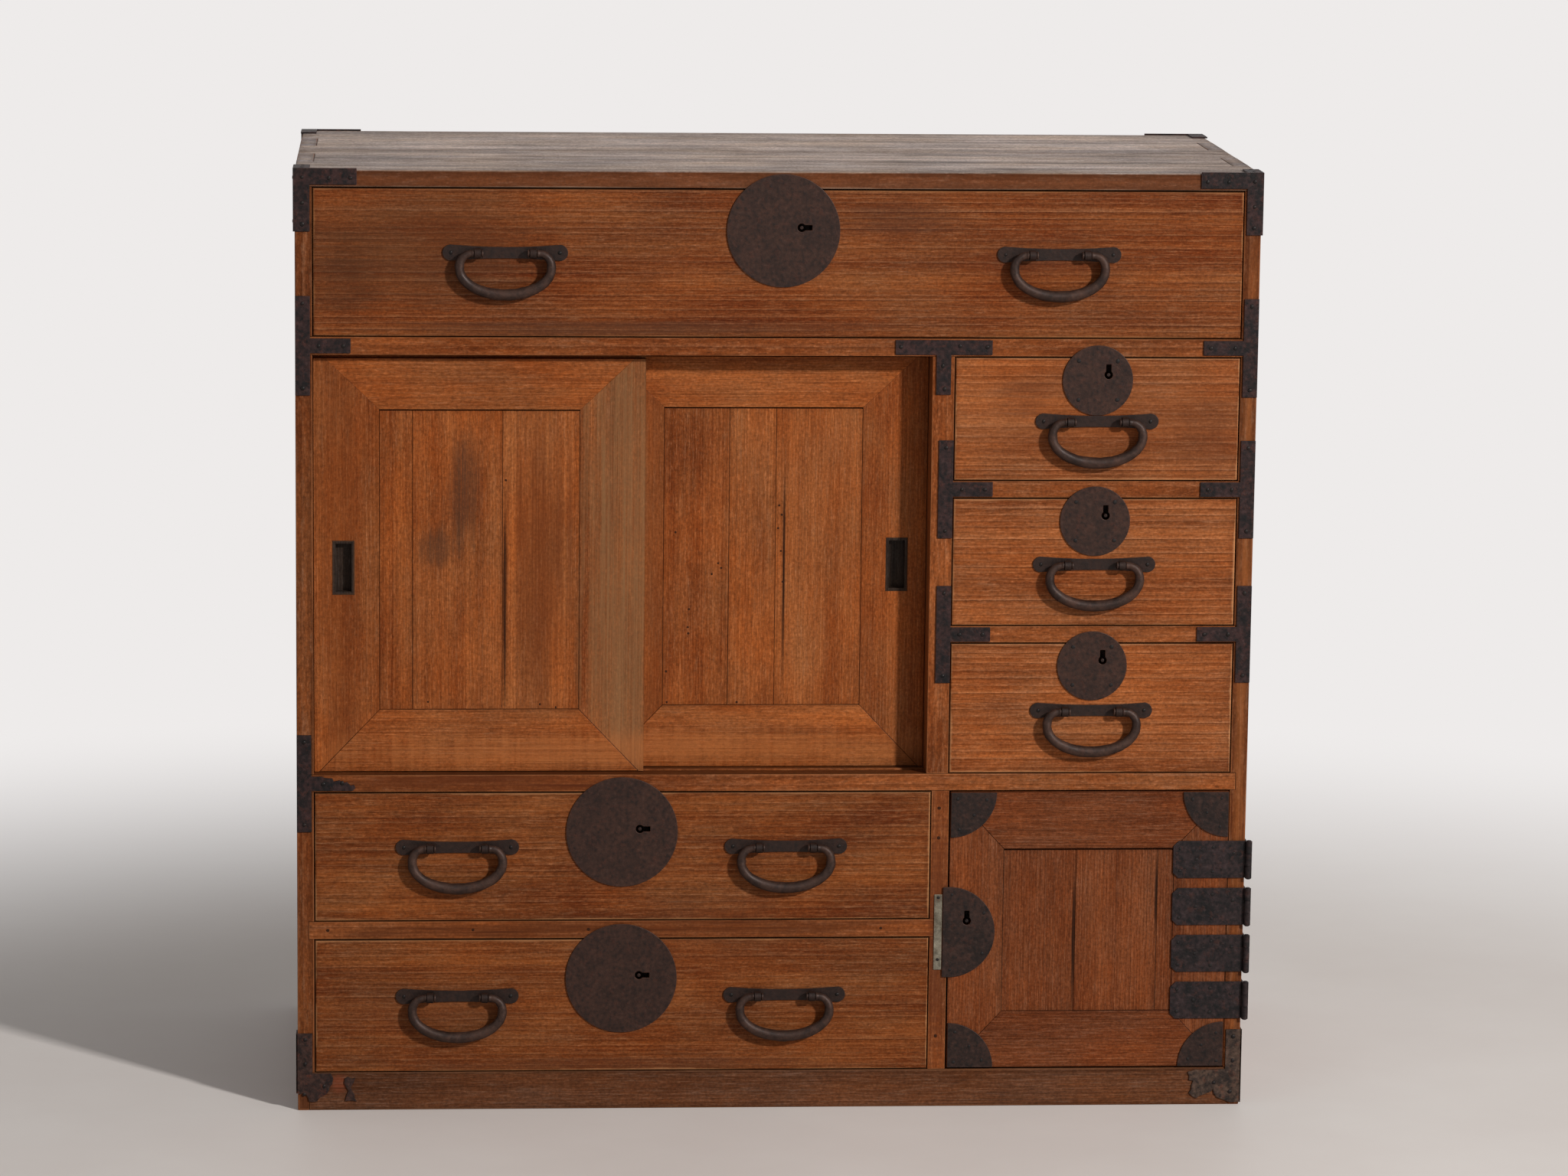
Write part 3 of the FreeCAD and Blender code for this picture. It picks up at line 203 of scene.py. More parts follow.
def make_figure():
    """The figure of straight-grained softwood: growth rings, dashes, fibres, pores, bands and clouds."""
    g, given, out = effect(
        "wood figure", [("At", "vector", None), ("Spacing", "number", 4 * MM), ("Waver", "number", 3 * MM)],
        [(label, "number") for label in ("Rings", "Early", "Streak", "Dash", "Fibre", "Pores", "Bands",
                                         "Cloud", "Warmth", "Speck")] + [("Chew", "vector")])
    x, y, z = g.split(given["At"])

    def stretched(along, over, side, through=None):
        """The place with x, a value to the side and, where it is given, z each times a factor."""
        return g.combined(g.times(x, along), g.times(side, over), g.times(z, through) if through else 0.0)

    bend = g.noise(stretched(1.3, 5.0, y, 5.0), 1.0, 2.0, 0.45)
    across = g.plus(g.plus(y, g.times(z, 0.35)), g.swing(bend, given["Waver"]))
    pace = g.noise(stretched(0.25, 38.0, across), 1.0, 1.5, 0.5)
    count = g.plus(g.math("DIVIDE", across, given["Spacing"]), g.times(pace, 3.5))
    part = g.math("FRACT", count)
    fade = g.remap(g.noise(stretched(1.8, 0.6, count), 1.0, 2.0, 0.6), 0.35, 0.66, 0.15, 1.0)
    g.feed(out["Rings"], g.times(g.math("POWER", part, 4.0), fade))
    g.feed(out["Early"], g.times(g.math("POWER", g.minus(1.0, part), 5.0), fade))
    for label, at, scale, detail, rough in (
            ("Streak", stretched(4.0, 480.0, across), 1.0, 3.0, 0.7),
            ("Dash", stretched(42.0, 700.0, across, 90.0), 1.0, 3.0, 0.7),
            ("Fibre", stretched(150.0, 1300.0, across, 400.0), 1.0, 2.0, 0.7),
            ("Bands", stretched(0.8, 48.0, across), 1.0, 2.0, 0.55),
            ("Cloud", stretched(7.0, 17.0, y, 17.0), 1.0, 4.0, 0.6),
            ("Warmth", stretched(5.0, 14.0, y, 14.0), 1.7, 3.0, 0.6),
            ("Speck", given["At"], 360.0, 3.0, 0.7)):
        g.feed(out[label], g.noise(at, scale, detail, rough))
    pores = g.noise(stretched(110.0, 1500.0, across), 1.0, 1.0, 0.4)
    g.feed(out["Pores"], g.remap(pores, 0.68, 0.76, smooth=True))
    g.feed(out["Chew"], g.combined(g.times(x, 0.25), y, z))
    return g.tree


def make_arris_band():
    """A ragged mask along the edges of a board, from the distance to its nearest arris."""
    g, given, out = effect("arris band", [("Distance", "number", None), ("Width", "number", 1.5 * MM),
                                           ("Ragged", "number", 0.6), ("At", "vector", None)],
                           [("Mask", "number")])
    chew = g.noise(given["At"], 240.0, 3.0, 0.65)
    patchy = g.noise(given["At"], 26.0, 2.0, 0.6)
    width = g.times(given["Width"], g.plus(1.0, g.swing(chew, g.times(given["Ragged"], 3.0))))
    width = g.times(width, g.remap(patchy, 0.35, 0.65, 0.3, 1.3))
    share = g.math("DIVIDE", given["Distance"], g.math("MAXIMUM", width, 0.1 * MM))
    g.feed(out["Mask"], g.remap(share, 0.1, 1.15, 1.0, 0.0, smooth=True))
    return g.tree


def make_blot():
    """A soft ragged patch at a place on the piece, in the piece's own coordinates."""
    g, given, out = effect("blot", [("Centre", "vector", None), ("Reach", "vector", (0.05, 0.05, 0.05)),
                                    ("Grain", "vector", (40.0, 40.0, 40.0))], [("Mask", "number")])
    here = g.here()
    away = g.vector("LENGTH", g.vector("DIVIDE", g.vector("SUBTRACT", here, given["Centre"]), given["Reach"]))
    chew = g.noise(g.vector("MULTIPLY", here, given["Grain"]), 1.0, 4.0, 0.65)
    g.feed(out["Mask"], g.remap(g.plus(away, g.swing(chew, 1.5)), 0.25, 1.0, 1.0, 0.0, smooth=True))
    return g.tree


def make_forging():
    """The skin of old forged iron: scale, rust freckles, hammer marks and fine grit."""
    g, given, out = effect("forging", [("Grit", "number", 1.0)],
                           [("Scale", "number"), ("Rust", "number"), ("Marks", "number"), ("Fine", "number")])
    here = g.here()
    freckles = g.noise(g.vector("ADD", here, (3.0, 1.0, 2.0)), 120.0, 5.0, 0.7)
    g.feed(out["Scale"], g.noise(here, 70.0, 6.0, 0.72, 0.3))
    g.feed(out["Rust"], g.remap(freckles, 0.52, 0.68, smooth=True))
    g.feed(out["Marks"], g.noise(here, 260.0, 2.5, 0.5))
    g.feed(out["Fine"], g.noise(here, g.times(given["Grit"], 1100.0), 3.0, 0.6))
    return g.tree


BOARD_PLACE = make_board_place()
FIGURE = make_figure()
ARRIS_BAND = make_arris_band()
BLOT = make_blot()
FORGING = make_forging()


# finishes
PALER = (16, 28, 34)
WARM = (1.05, 0.94, 0.8)
COOL = (0.95, 1.05, 1.22)
FIBRE_SHOWS = 0.2
WOOD_SHINE, IRON_SHINE = 0.06, 0.25
GRAIN_DEEP, DINTS_DEEP = 0.25 * MM, 0.5 * MM


def finish_base(name):
    """A new material with its graph and its shader."""
    made = bpy.data.materials.new(name)
    made.use_nodes = True
    return made, Graph(made.node_tree), made.node_tree.nodes["Principled BSDF"]


def srgb(colour, share=1.0, lift=(0, 0, 0)):
    """A colour as seen on a screen, 0 to 255, for the shader: a share of it, lifted."""
    values = [min(value * share, 255) + more for value, more in zip(colour, lift)]
    return tuple(((value / 255 + 0.055) / 1.055) ** 2.4 if value > 10 else value / 3294 for value in values)


def emboss(g, shader, strength, deep, *heights):
    """Feed the weighed sum of (height, share) pairs into the shader's normal."""
    bump = g.node("ShaderNodeBump", {"Strength": strength, "Distance": deep, "Height": g.weighed(*heights)})
    g.feed(shader.inputs["Normal"], bump.outputs[0])


def tones_of(dark, light, line):
    """The dark, light, line and pale tones of a wood."""
    return [srgb(dark), srgb(light), srgb(line), srgb(light, lift=PALER)]


def wood(name, dark, light, line, edge_wear_and_sheen, spacing=4.0, waver=3.0, rings=0.6, streak=0.13, dash=0.5,
         edge_wear_and_sheen_width=1.3, edge_wear_and_sheen_share=0.7, joint=0.5, grime=0.22, grime_width=7.0, rough=0.5,
         stretch=(6, 40, 200), speck=0.3, top_shade=0.0, vary=0.06, relief=0.25, plain=1.0, hue=1.0,
         face=None, patches=()):
    """Old stained wood. The colours, as seen on a screen, are the dark and light of the grain, the growth
    lines and the arris edges: on the drawers a light tone that is partly wear and partly a painted highlight
    on the rounded edges, on the doors a dark joint line. Joint is how dark the eased edges are, where boards
    meet, the top shade is how much painted shade darkens the faces that look up, vary how much the boards
    differ, and hue how far the hue wanders. A face is (axis, place in mm, side, colours): beyond that place
    the wood has these other colours, and plain is the share of fine detail that the rest keeps. Patches are
    (centre, reach, colour, strength) in mm. A patch that is taller than wide stays off the level boards of a
    frame."""
    made, g, shader = finish_base(name)
    place = g.group(BOARD_PLACE)
    figure = g.group(FIGURE, {"At": place["At"], "Spacing": spacing * MM, "Waver": waver * MM})

    def arris_band(width):
        return g.group(ARRIS_BAND, {"Distance": place["Arris"], "Width": width * MM, "Ragged": 0.5,
                                "At": figure["Chew"]})["Mask"]

    tones = tones_of(dark, light, line)
    detail = 1.0
    if face:
        axis, where, side, colours = face
        beyond = g.remap(g.times(g.minus(g.split(g.here())[axis], where * MM), side), 0.0, 0.8 * MM)
        tones = [g.mix(beyond, first, second) for first, second in zip(tones, tones_of(*colours))]
        detail = g.remap(beyond, 0.0, 1.0, plain, 1.0)
    dark_tone, light_tone, line_tone, pale_tone = tones
    tone = g.weighed((figure["Cloud"], 0.45), (figure["Bands"], 0.37), (figure["Streak"], 0.18))
    tone = g.plus(tone, g.swing(place["Shift"], vary))
    colour = g.mix(g.remap(tone, 0.37, 0.63), dark_tone, light_tone)
    colour = g.mix(g.times(figure["Early"], rings * 0.6), colour, pale_tone)
    colour = g.mix(g.times(figure["Rings"], rings), colour, line_tone)
    dash = g.times(dash, detail)
    colour = g.mix(g.remap(figure["Dash"], 0.52, 0.70, 0.0, dash), colour, line_tone)
    colour = g.mix(g.remap(figure["Dash"], 0.47, 0.28, 0.0, dash), colour, pale_tone)
    colour = g.mix(g.remap(figure["Fibre"], 0.58, 0.76, 0.0, 0.35), colour, pale_tone)
    glow = g.times(g.gain(figure["Fibre"], FIBRE_SHOWS), g.gain(figure["Streak"], streak))
    glow = g.times(glow, g.gain(figure["Speck"], speck))
    glow = g.plus(1.0, g.times(g.minus(glow, 1.0), detail))
    warm, cool = [[1 + (value - 1) * hue for value in tint] for tint in (WARM, COOL)]
    tint = g.mix(g.remap(figure["Warmth"], 0.35, 0.65), warm, cool)
    colour = g.mix(1.0, colour, g.vector("MULTIPLY", tint, glow), "MULTIPLY")
    colour = g.mix(g.times(figure["Pores"], 0.4), colour, srgb(line, 0.5))
    rim = arris_band(grime_width)
    colour = g.mix(g.times(rim, grime), colour, srgb(dark, 0.6))
    for centre, reach, patch, strength in patches:
        mask = g.group(BLOT, {"Centre": [value * MM for value in centre],
                              "Reach": [value * MM for value in reach], "Grain": stretch})["Mask"]
        amount = g.follow(figure["Streak"], strength * 0.4, strength * 1.5)
        if reach[2] > reach[0]:
            amount = g.times(amount, g.minus(1.0, g.attribute("level")))
        colour = g.mix(g.times(mask, amount), colour, srgb(patch))
    # The arris edge colour: on the drawers partly wear and partly a painted highlight where the rounded edges
    # catch the light, on the doors a dark joint line.
    colour = g.mix(g.times(arris_band(edge_wear_and_sheen_width), edge_wear_and_sheen_share), colour, srgb(edge_wear_and_sheen))
    broken = g.remap(g.noise(figure["Chew"], 55.0, 3.0, 0.6), 0.36, 0.55, 0.5, 1.0)
    groove = g.times(g.remap(g.attribute("groove"), 0.2, 0.8), g.times(broken, joint))
    colour = g.mix(groove, colour, srgb(dark, 0.4))
    # Painted shade: faces that look up, such as the top arrises of the drawer fronts and rails, turn towards a
    # darker tone of the wood.
    facing_up = g.split(g.here("Normal"))[2]
    colour = g.mix(g.remap(facing_up, 0.35, 0.8, 0.0, top_shade), colour, srgb(dark, 0.35))
    g.feed(shader.inputs["Base Color"], colour)
    rough = g.plus(rough, g.plus(g.times(figure["Rings"], 0.1), g.swing(figure["Cloud"], 0.25)))
    g.feed(shader.inputs["Roughness"], g.math("ADD", rough, g.times(rim, 0.1), clamp=True))
    shader.inputs["Specular IOR Level"].default_value = WOOD_SHINE
    emboss(g, shader, relief, GRAIN_DEEP, (figure["Rings"], 0.6), (figure["Streak"], 0.5),
           (g.minus(figure["Fibre"], figure["Pores"]), 0.3))
    return made


def iron(name, dark, light, rust, rusting=0.35, rough=0.52, metal=0.25, relief=0.35, rim=0.3, pitting=0.35):
    """Forged iron with scale, rust and pits, eased edges painted lighter, partly as wear and partly as a painted
    highlight, and darker handle plates.
    """
    made, g, shader = finish_base(name)
    skin = g.group(FORGING)
    black = srgb(dark, 0.5)
    colour = g.mix(g.remap(skin["Scale"], 0.38, 0.64), srgb(dark), srgb(light))
    colour = g.mix(g.times(skin["Rust"], rusting), colour, srgb(rust))
    colour = g.mix(g.remap(skin["Fine"], 0.42, 0.75, 0.0, 0.45), colour, black)
    colour = g.mix(g.remap(skin["Marks"], 0.5, 0.72, 0.0, pitting), colour, black)
    between = g.remap(skin["Marks"], 0.44, 0.2, 0.0, pitting * 0.5)
    colour = g.mix(between, colour, srgb(light, lift=(20, 20, 20)))
    # Painted highlight, partly wear: the eased edges are lightened where the scale allows.
    edge = g.times(g.times(g.attribute("groove"), skin["Scale"]), rim * 2)
    colour = g.mix(edge, colour, srgb(light, 1.5))
    colour = g.mix(g.times(g.attribute("handled"), 0.55), colour, black)
    g.feed(shader.inputs["Base Color"], colour)
    g.feed(shader.inputs["Roughness"], g.plus(rough, g.follow(skin["Scale"], -0.1, 0.14)))
    shader.inputs["Metallic"].default_value = metal
    shader.inputs["Specular IOR Level"].default_value = IRON_SHINE
    emboss(g, shader, relief, DINTS_DEEP, (skin["Marks"], 0.9), (skin["Fine"], 0.22), (skin["Rust"], 0.3))
    return made


STAIN = (66, 38, 26)
CRACK = (34, 17, 8)
UPRIGHT = (160, 40, 5)
drawer_wood = wood("drawer wood", (85, 35, 10), (126, 70, 33), (65, 26, 7), (183, 128, 83), 6.0, rings=0.95,
                   edge_wear_and_sheen_width=2.0, edge_wear_and_sheen_share=0.4, top_shade=0.85,
                   patches=[((-340, CASE_FRONT, 830), (160, 30, 80), (70, 41, 24), 0.5),
                            ((-410, CASE_FRONT, 800), (50, 30, 60), (60, 36, 22), 0.35),
                            ((115, CASE_FRONT, 862), (75, 30, 26), STAIN, 0.5),
                            ((250, CASE_FRONT, 822), (80, 30, 30), STAIN, 0.3),
                            ((-150, CASE_FRONT, 756), (330, 30, 10), STAIN, 0.6)])
lower_wood = wood("lower drawer wood", (86, 38, 12), (130, 74, 35), (64, 28, 8), (185, 134, 90), 6.0,
                  rings=0.7, dash=0.4, edge_wear_and_sheen_width=2.0, edge_wear_and_sheen_share=0.5, top_shade=0.85,
                  patches=[((-60, CASE_FRONT, 180), (120, 30, 45), STAIN, 0.25),
                           ((-330, CASE_FRONT, 100), (120, 30, 40), STAIN, 0.25),
                           ((-150, CASE_FRONT, 44), (330, 30, 10), STAIN, 0.4)])
small_wood = wood("small drawer wood", (101, 48, 18), (150, 86, 44), (74, 35, 12), (203, 147, 101), 6.5,
                  rings=0.95, dash=0.4, edge_wear_and_sheen_width=2.0, edge_wear_and_sheen_share=0.45, top_shade=0.85,
                  patches=[((405, CASE_FRONT, 650), (45, 30, 60), STAIN, 0.3),
                           ((320, CASE_FRONT, 672), (220, 30, 75), (100, 52, 26), 0.3),
                           ((230, CASE_FRONT, 690), (40, 30, 25), STAIN, 0.3)])
slider_wood = wood("sliding door wood", (103, 47, 15), (148, 84, 41), (82, 37, 11), (54, 28, 13), 3.0, 2.5,
                   rings=0.35, dash=0.3, edge_wear_and_sheen_width=0.5, edge_wear_and_sheen_share=0.4, joint=1.0, grime=0.12,
                   stretch=UPRIGHT,
                   patches=[((-149, FRONT_DOOR, 530), (46, 40, 420), (120, 90, 60), 0.55),
                            ((-412, FRONT_DOOR, 530), (30, 40, 420), (92, 46, 20), 0.4),
                            ((-150, -181, 348), (420, 40, 26), (160, 96, 52), 0.5),
                            ((-222, FRONT_DOOR, 530), (40, 30, 190), (94, 46, 20), 0.65),
                            ((-298, FRONT_DOOR, 600), (22, 40, 70), (62, 44, 32), 0.6),
                            ((-322, FRONT_DOOR, 545), (26, 40, 26), (62, 44, 32), 0.55),
                            ((-257.6, FRONT_DOOR, 500), (2.2, 20, 120), CRACK, 0.9),
                            ((8.8, REAR_DOOR, 520), (2.4, 14, 130), CRACK, 0.9),
                            # Painted shade: this patch darkens the visible left stile of the rear door, next to
                            # the edge of the front door.
                            ((-118, REAR_DOOR, 530), (20, 14, 420), (92, 44, 17), 0.4)])
door_wood = wood("hinged door wood", (81, 37, 14), (114, 61, 31), (59, 27, 11), (41, 22, 13), 3.0, 2.5,
                 rings=0.5, dash=0.45, edge_wear_and_sheen_width=0.5, edge_wear_and_sheen_share=0.4, joint=1.0, grime=0.15, stretch=UPRIGHT,
                 patches=[((332, CASE_FRONT, 290), (3, 20, 12), (205, 170, 140), 0.4),
                          ((290.4, CASE_FRONT, 160), (2.4, 12, 85), CRACK, 0.95),
                          ((369.5, CASE_FRONT, 205), (2.0, 12, 50), CRACK, 0.8)])
rail_wood = wood("rail wood", (97, 47, 18), (138, 77, 38), (71, 34, 13), (180, 118, 74), 3.4, rings=0.5,
                 dash=0.4, edge_wear_and_sheen_share=0.3, grime=0.2, grime_width=4, top_shade=0.6,
                 # Painted shade: the first patch darkens the low rail at 177 mm.
                 patches=[((-150, CASE_FRONT, 177), (420, 40, 16), (76, 37, 16), 0.85),
                          ((-290, CASE_FRONT, 320), (270, 30, 16), (78, 36, 15), 0.75),
                          ((159.5, CASE_FRONT, 170), (16, 30, 200), (82, 41, 22), 0.7)])
side_wood = wood("side wood", (81, 37, 14), (115, 63, 30), (60, 28, 9), (149, 92, 55), 4.2, 6.0, grime=0.25,
                 grime_width=12, stretch=UPRIGHT,
                 face=(2, TOP - 1.4, 1, ((87, 69, 60), (175, 158, 149), (71, 54, 46))),
                 patches=[((448, CASE_FRONT, 500), (10, 30, 560), (152, 90, 46), 0.3),
                          ((-448, CASE_FRONT, 4), (30, 40, 26), (66, 36, 21), 0.75)])
base_wood = wood("base wood", (65, 35, 17), (96, 57, 34), (49, 27, 14), (110, 72, 46), 3.8, rough=0.62,
                 edge_wear_and_sheen_width=1.6, patches=[((-415, CASE_FRONT, 26), (13, 20, 13), (122, 60, 38), 0.55)])
top_wood = wood("top wood", (76, 40, 19), (108, 62, 36), (56, 28, 12), (150, 122, 102), 5.5, 10.0, rings=0.8,
                rough=0.6, grime=0.25, grime_width=14, relief=0.35, dash=0.6, streak=0.22, speck=0.4,
                joint=0.3, plain=0.5, hue=0.35,
                face=(2, TOP - 1.2, 1, ((68, 50, 42), (220, 197, 183), (47, 33, 27))),
                patches=[((215, 12, TOP), (250, 1.4, 6), (62, 46, 38), 0.8),
                         ((-60, -104, TOP), (300, 1.0, 6), (84, 66, 56), 0.6)])
inner_wood = wood("bare inner wood", (150, 118, 84), (186, 152, 114), (128, 96, 66), (196, 166, 128), 4.5,
                  6.0, rough=0.7, grime=0.15, joint=0.8, vary=0.4)
pull_wood = wood("finger pull wood", (34, 24, 19), (52, 38, 28), (24, 17, 14), (80, 56, 40), 2.5, 2.0,
                 rough=0.4, grime=0.15, grime_width=2, dash=0.2, joint=0.2)
peg_wood = wood("peg wood", (44, 24, 13), (60, 34, 19), (34, 18, 10), (50, 28, 16), 1.0, 1.0, rough=0.6)
plate_iron = iron("lock plate iron", (40, 24, 18), (56, 34, 25), (74, 37, 24), 0.3, pitting=0.8, relief=0.5,
                  rim=0.6)
door_iron = iron("door plate iron", (24, 15, 12), (50, 31, 24), (70, 35, 23), 0.3, pitting=0.9, relief=0.6,
                 rim=0.6)
case_iron = iron("corner iron", (9, 6, 7), (52, 32, 30), (76, 39, 28), 0.45, 0.6, pitting=1.0, relief=0.7)
bail_iron = iron("bail iron", (40, 27, 22), (68, 47, 38), (76, 44, 31), 0.25, 0.5, 0.3)
hinge_iron = iron("hinge iron", (6, 5, 6), (46, 33, 33), (72, 38, 27), 0.4, 0.6, pitting=1.0, relief=0.8)
foot_iron = iron("foot iron", (32, 23, 19), (84, 64, 52), (92, 50, 34), 0.5, 0.6, pitting=0.9, relief=1.0)
rusty_iron = iron("rusty foot iron", (24, 15, 14), (66, 42, 34), (92, 44, 28), 0.6, 0.6, pitting=0.9,
                  relief=1.0)
nail_iron = iron("nail iron", (13, 9, 8), (28, 20, 17), (52, 30, 22), 0.2, 0.45)
bolt_iron = iron("bolt iron", (62, 56, 52), (92, 84, 78), (90, 60, 44), 0.2)
keeper_steel = iron("keeper steel", (88, 82, 70), (140, 133, 117), (98, 70, 52), 0.4, 0.45, 0.4)
hole_iron = iron("nail hollow", (12, 9, 8), (22, 16, 14), (40, 24, 18), 0.2, 0.6, 0.1)


# pieces, with sizes in mm
ALONG_X, ALONG_Z = 0, 2
WELD = 0.002
FLAT = math.radians(0.6)
SHARP = math.radians(32)
HANDLE_HIGH = 24
TORN_EASE = 0.3
FOLD_BACK = -191


def keep(mesh, name, node, finish, replaced=()):
    """Put a finished mesh in the scene with its finish, on the body of a node, and hide the nodes that it
    replaces.
    """
    piece = bpy.data.objects.new(name, mesh)
    SCENE.collection.objects.link(piece)
    mesh.materials.clear()
    mesh.materials.append(finish)
    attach(piece, BODIES[node])
    if replaced:
        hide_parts(*replaced)


def solids_of(node):
    """The closed solids of a node, each as a list of triangles of points."""
    mesh = frame["nodes"][node].data
    waiting = set()
    found = []
    triangles = []
    for face in mesh.polygons:
        points = [tuple(mesh.vertices[index].co) for index in face.vertices]
        keys = [tuple(round(value * 1e6) for value in point) for point in points]
        triangles.append(points)
        for start, end in zip(keys, keys[1:] + keys[:1]):
            if (end, start) in waiting:
                waiting.discard((end, start))
            else:
                waiting.add((start, end))
        if not waiting:
            found.append(triangles)
            triangles = []
    return found


def bevel(shape, edges, width, steps, **settings):
    """Ease edges of a shape by a width, in a few steps."""
    return bmesh.ops.bevel(shape, geom=edges, offset=width, segments=steps, profile=0.5, affect="EDGES",
                           **settings)


def eased(triangles, width):
    """A solid as a clean mesh whose sharp edges are eased by a width."""
    shape = bmesh.new()
    layer = shape.verts.layers.float.new("groove")
    for points in triangles:
        shape.faces.new([shape.verts.new(point) for point in points])
    bmesh.ops.remove_doubles(shape, verts=shape.verts, dist=WELD * MM)
    bmesh.ops.dissolve_limit(shape, angle_limit=FLAT, verts=shape.verts, edges=shape.edges)
    sharp = [edge for edge in shape.edges if edge.is_manifold and edge.calc_face_angle() > SHARP]
    rounding = set(bevel(shape, sharp, width, 2, clamp_overlap=True)["faces"])
    for vertex in shape.verts:
        vertex[layer] = float(all(face in rounding for face in vertex.link_faces))
    return shape


def extent(points, axis):
    """How far points reach along an axis."""
    return max(point[axis] for point in points) - min(point[axis] for point in points)


def mark(shape, name, value):
    """Give all vertices of a shape the same number in an attribute."""
    layer = shape.verts.layers.float.new(name)
    for vertex in shape.verts:
        vertex[layer] = value


def mark_board(shape, grain, shift, raised):
    """Keep on each vertex where it lies on its board: along the grain, across it and through it.
    On a raised board only its front face counts."""
    points = [vertex.co for vertex in shape.verts]
    if raised:
        front = min(point.y for point in points)
        points = [point for point in points if point.y < front + MM]
    low = [min(point[axis] for point in points) for axis in range(3)]
    size = [extent(points, axis) for axis in range(3)]
    order = sorted(range(3), key=lambda axis: -size[axis])
    if grain is not None:
        order.remove(grain)
        order.insert(0, grain)
    layer = shape.verts.layers.float_vector.new("board_at")
    size_layer = shape.verts.layers.float_vector.new("board_size")
    for vertex in shape.verts:
        vertex[layer] = [vertex.co[axis] - low[axis] for axis in order]
        vertex[size_layer] = [size[axis] for axis in order]
    mark(shape, "board_shift", shift)


def joined(name, shapes):
    """Several shapes as one mesh."""
    mesh = bpy.data.meshes.new(name)
    whole = bmesh.new()
    for shape in shapes:
        part = bpy.data.meshes.new("part")
        shape.to_mesh(part)
        whole.from_mesh(part)
        bpy.data.meshes.remove(part)
        shape.free()
    whole.to_mesh(mesh)
    whole.free()
    return mesh


def dress_wood(node, finish, ease, grain=None, raised=False, upright=None):
    """Stand a wooden node's boards, with eased edges and a grain of their own, in its place.
    Upright boards can be eased by a width of their own."""
    draw = random.Random(node)
    shapes = []
    for triangles in solids_of(node):
        points = [point for triangle in triangles for point in triangle]
        tall, wide = extent(points, ALONG_Z), extent(points, ALONG_X)
        shape = eased(triangles, (upright if upright and tall > wide else ease) * MM)
        mark_board(shape, grain, draw.random(), raised)
        mark(shape, "level", float(upright is not None and wide > tall))
        shapes.append(shape)
    keep(joined(node + "_wood", shapes), node + "_wood", node, finish, [node])


def dress_iron(node, finish, ease=0.35, leave=None, more=()):
    """Stand an iron node's pieces, with eased edges, in its place. A solid whose middle passes the test in
    leave is left out, and the shapes in more are added."""
    shapes = []
    for triangles in solids_of(node):
        points = [Vector(point) / MM for triangle in triangles for point in triangle]
        middle = sum(points, Vector()) / len(points)
        if not (leave and leave(middle)):
            shape = eased(triangles, ease * MM)
            mark(shape, "handled", float(extent(points, ALONG_Z) < HANDLE_HIGH))
            shapes.append(shape)
    keep(joined(node + "_iron", shapes + list(more)), node + "_iron", node, finish, [node])


def torn(points):
    """A torn bit of sheet iron from its outline on the front of the case, (x, z) in mm."""
    shape = bmesh.new()
    front, back = [[shape.verts.new(Vector((x, y, z)) * MM) for x, z in points]
                   for y in (CASE_FRONT - IRON, CASE_FRONT)]
    shape.faces.new(front)
    shape.faces.new(list(reversed(back)))
    count = len(points)
    for step in range(count):
        after = (step + 1) % count
        shape.faces.new((front[after], front[step], back[step], back[after]))
    bmesh.ops.recalc_face_normals(shape, faces=shape.faces)
    rim = [edge for edge in shape.edges if all(vertex in front for vertex in edge.verts)]
    bevel(shape, rim, TORN_EASE * MM, 2, clamp_overlap=True)
    return shape


def foot_side(out, low, high):
    """The leg of a foot iron that is folded round the side that out points to, between two heights."""
    left, right = sorted((out * HALF_WIDE, out * HALF_WIDE + out * IRON))
    front = CASE_FRONT - IRON
    shape = bmesh.new()
    made = [shape.verts.new(Vector((x, y, z)) * MM) for z in (low, high) for x, y in
            ((left, front), (right, front), (right, FOLD_BACK), (left, FOLD_BACK))]
    for face in ((3, 2, 1, 0), (4, 5, 6, 7), (0, 1, 5, 4), (1, 2, 6, 5), (2, 3, 7, 6), (3, 0, 4, 7)):
        shape.faces.new([made[index] for index in face])
    bevel(shape, list(shape.edges), TORN_EASE * MM, 1)
    return shape


LEFT_FOOT = [(-456.6, 76), (-456.6, 18), (-453, 16), (-450.5, 17.2), (-447, 15.6), (-445.2, 12.4),
             (-444.4, 9), (-440.6, 8.4), (-437, 9), (-434, 12.6), (-431.6, 14), (-427.8, 15.8),
             (-425.4, 19), (-424.6, 23), (-422, 26.4), (-421.2, 31.6), (-423.4, 36.4), (-441, 36.4),
             (-441, 76)]
LEFT_FOOT_BIT = [(-410, 31.6), (-407.4, 33), (-403.2, 31), (-400.2, 32), (-401.4, 28), (-404.4, 22.6),
                 (-403, 18.6), (-401, 16), (-400.6, 11.6), (-398.4, 8.6), (-403.6, 9.8), (-410, 9.2),
                 (-408.6, 14.4), (-406.6, 19.4), (-409, 23.2), (-410.6, 27)]
RIGHT_FOOT = [(456.6, 75), (441, 75), (441, 35.4), (424, 34.6), (412, 35), (404.6, 32.8), (406.2, 28.6),
              (405.8, 24.6), (410, 24), (408.4, 19), (408.6, 16), (406, 12), (409.4, 8.6), (413.6, 6.4),
              (416, 8.8), (419, 9.6), (424.2, 11.8), (428, 13.2), (429.6, 15.6), (430.6, 11.2),
              (433.4, 7.4), (441.4, 4.4), (446.8, 2), (456.6, 2.6)]
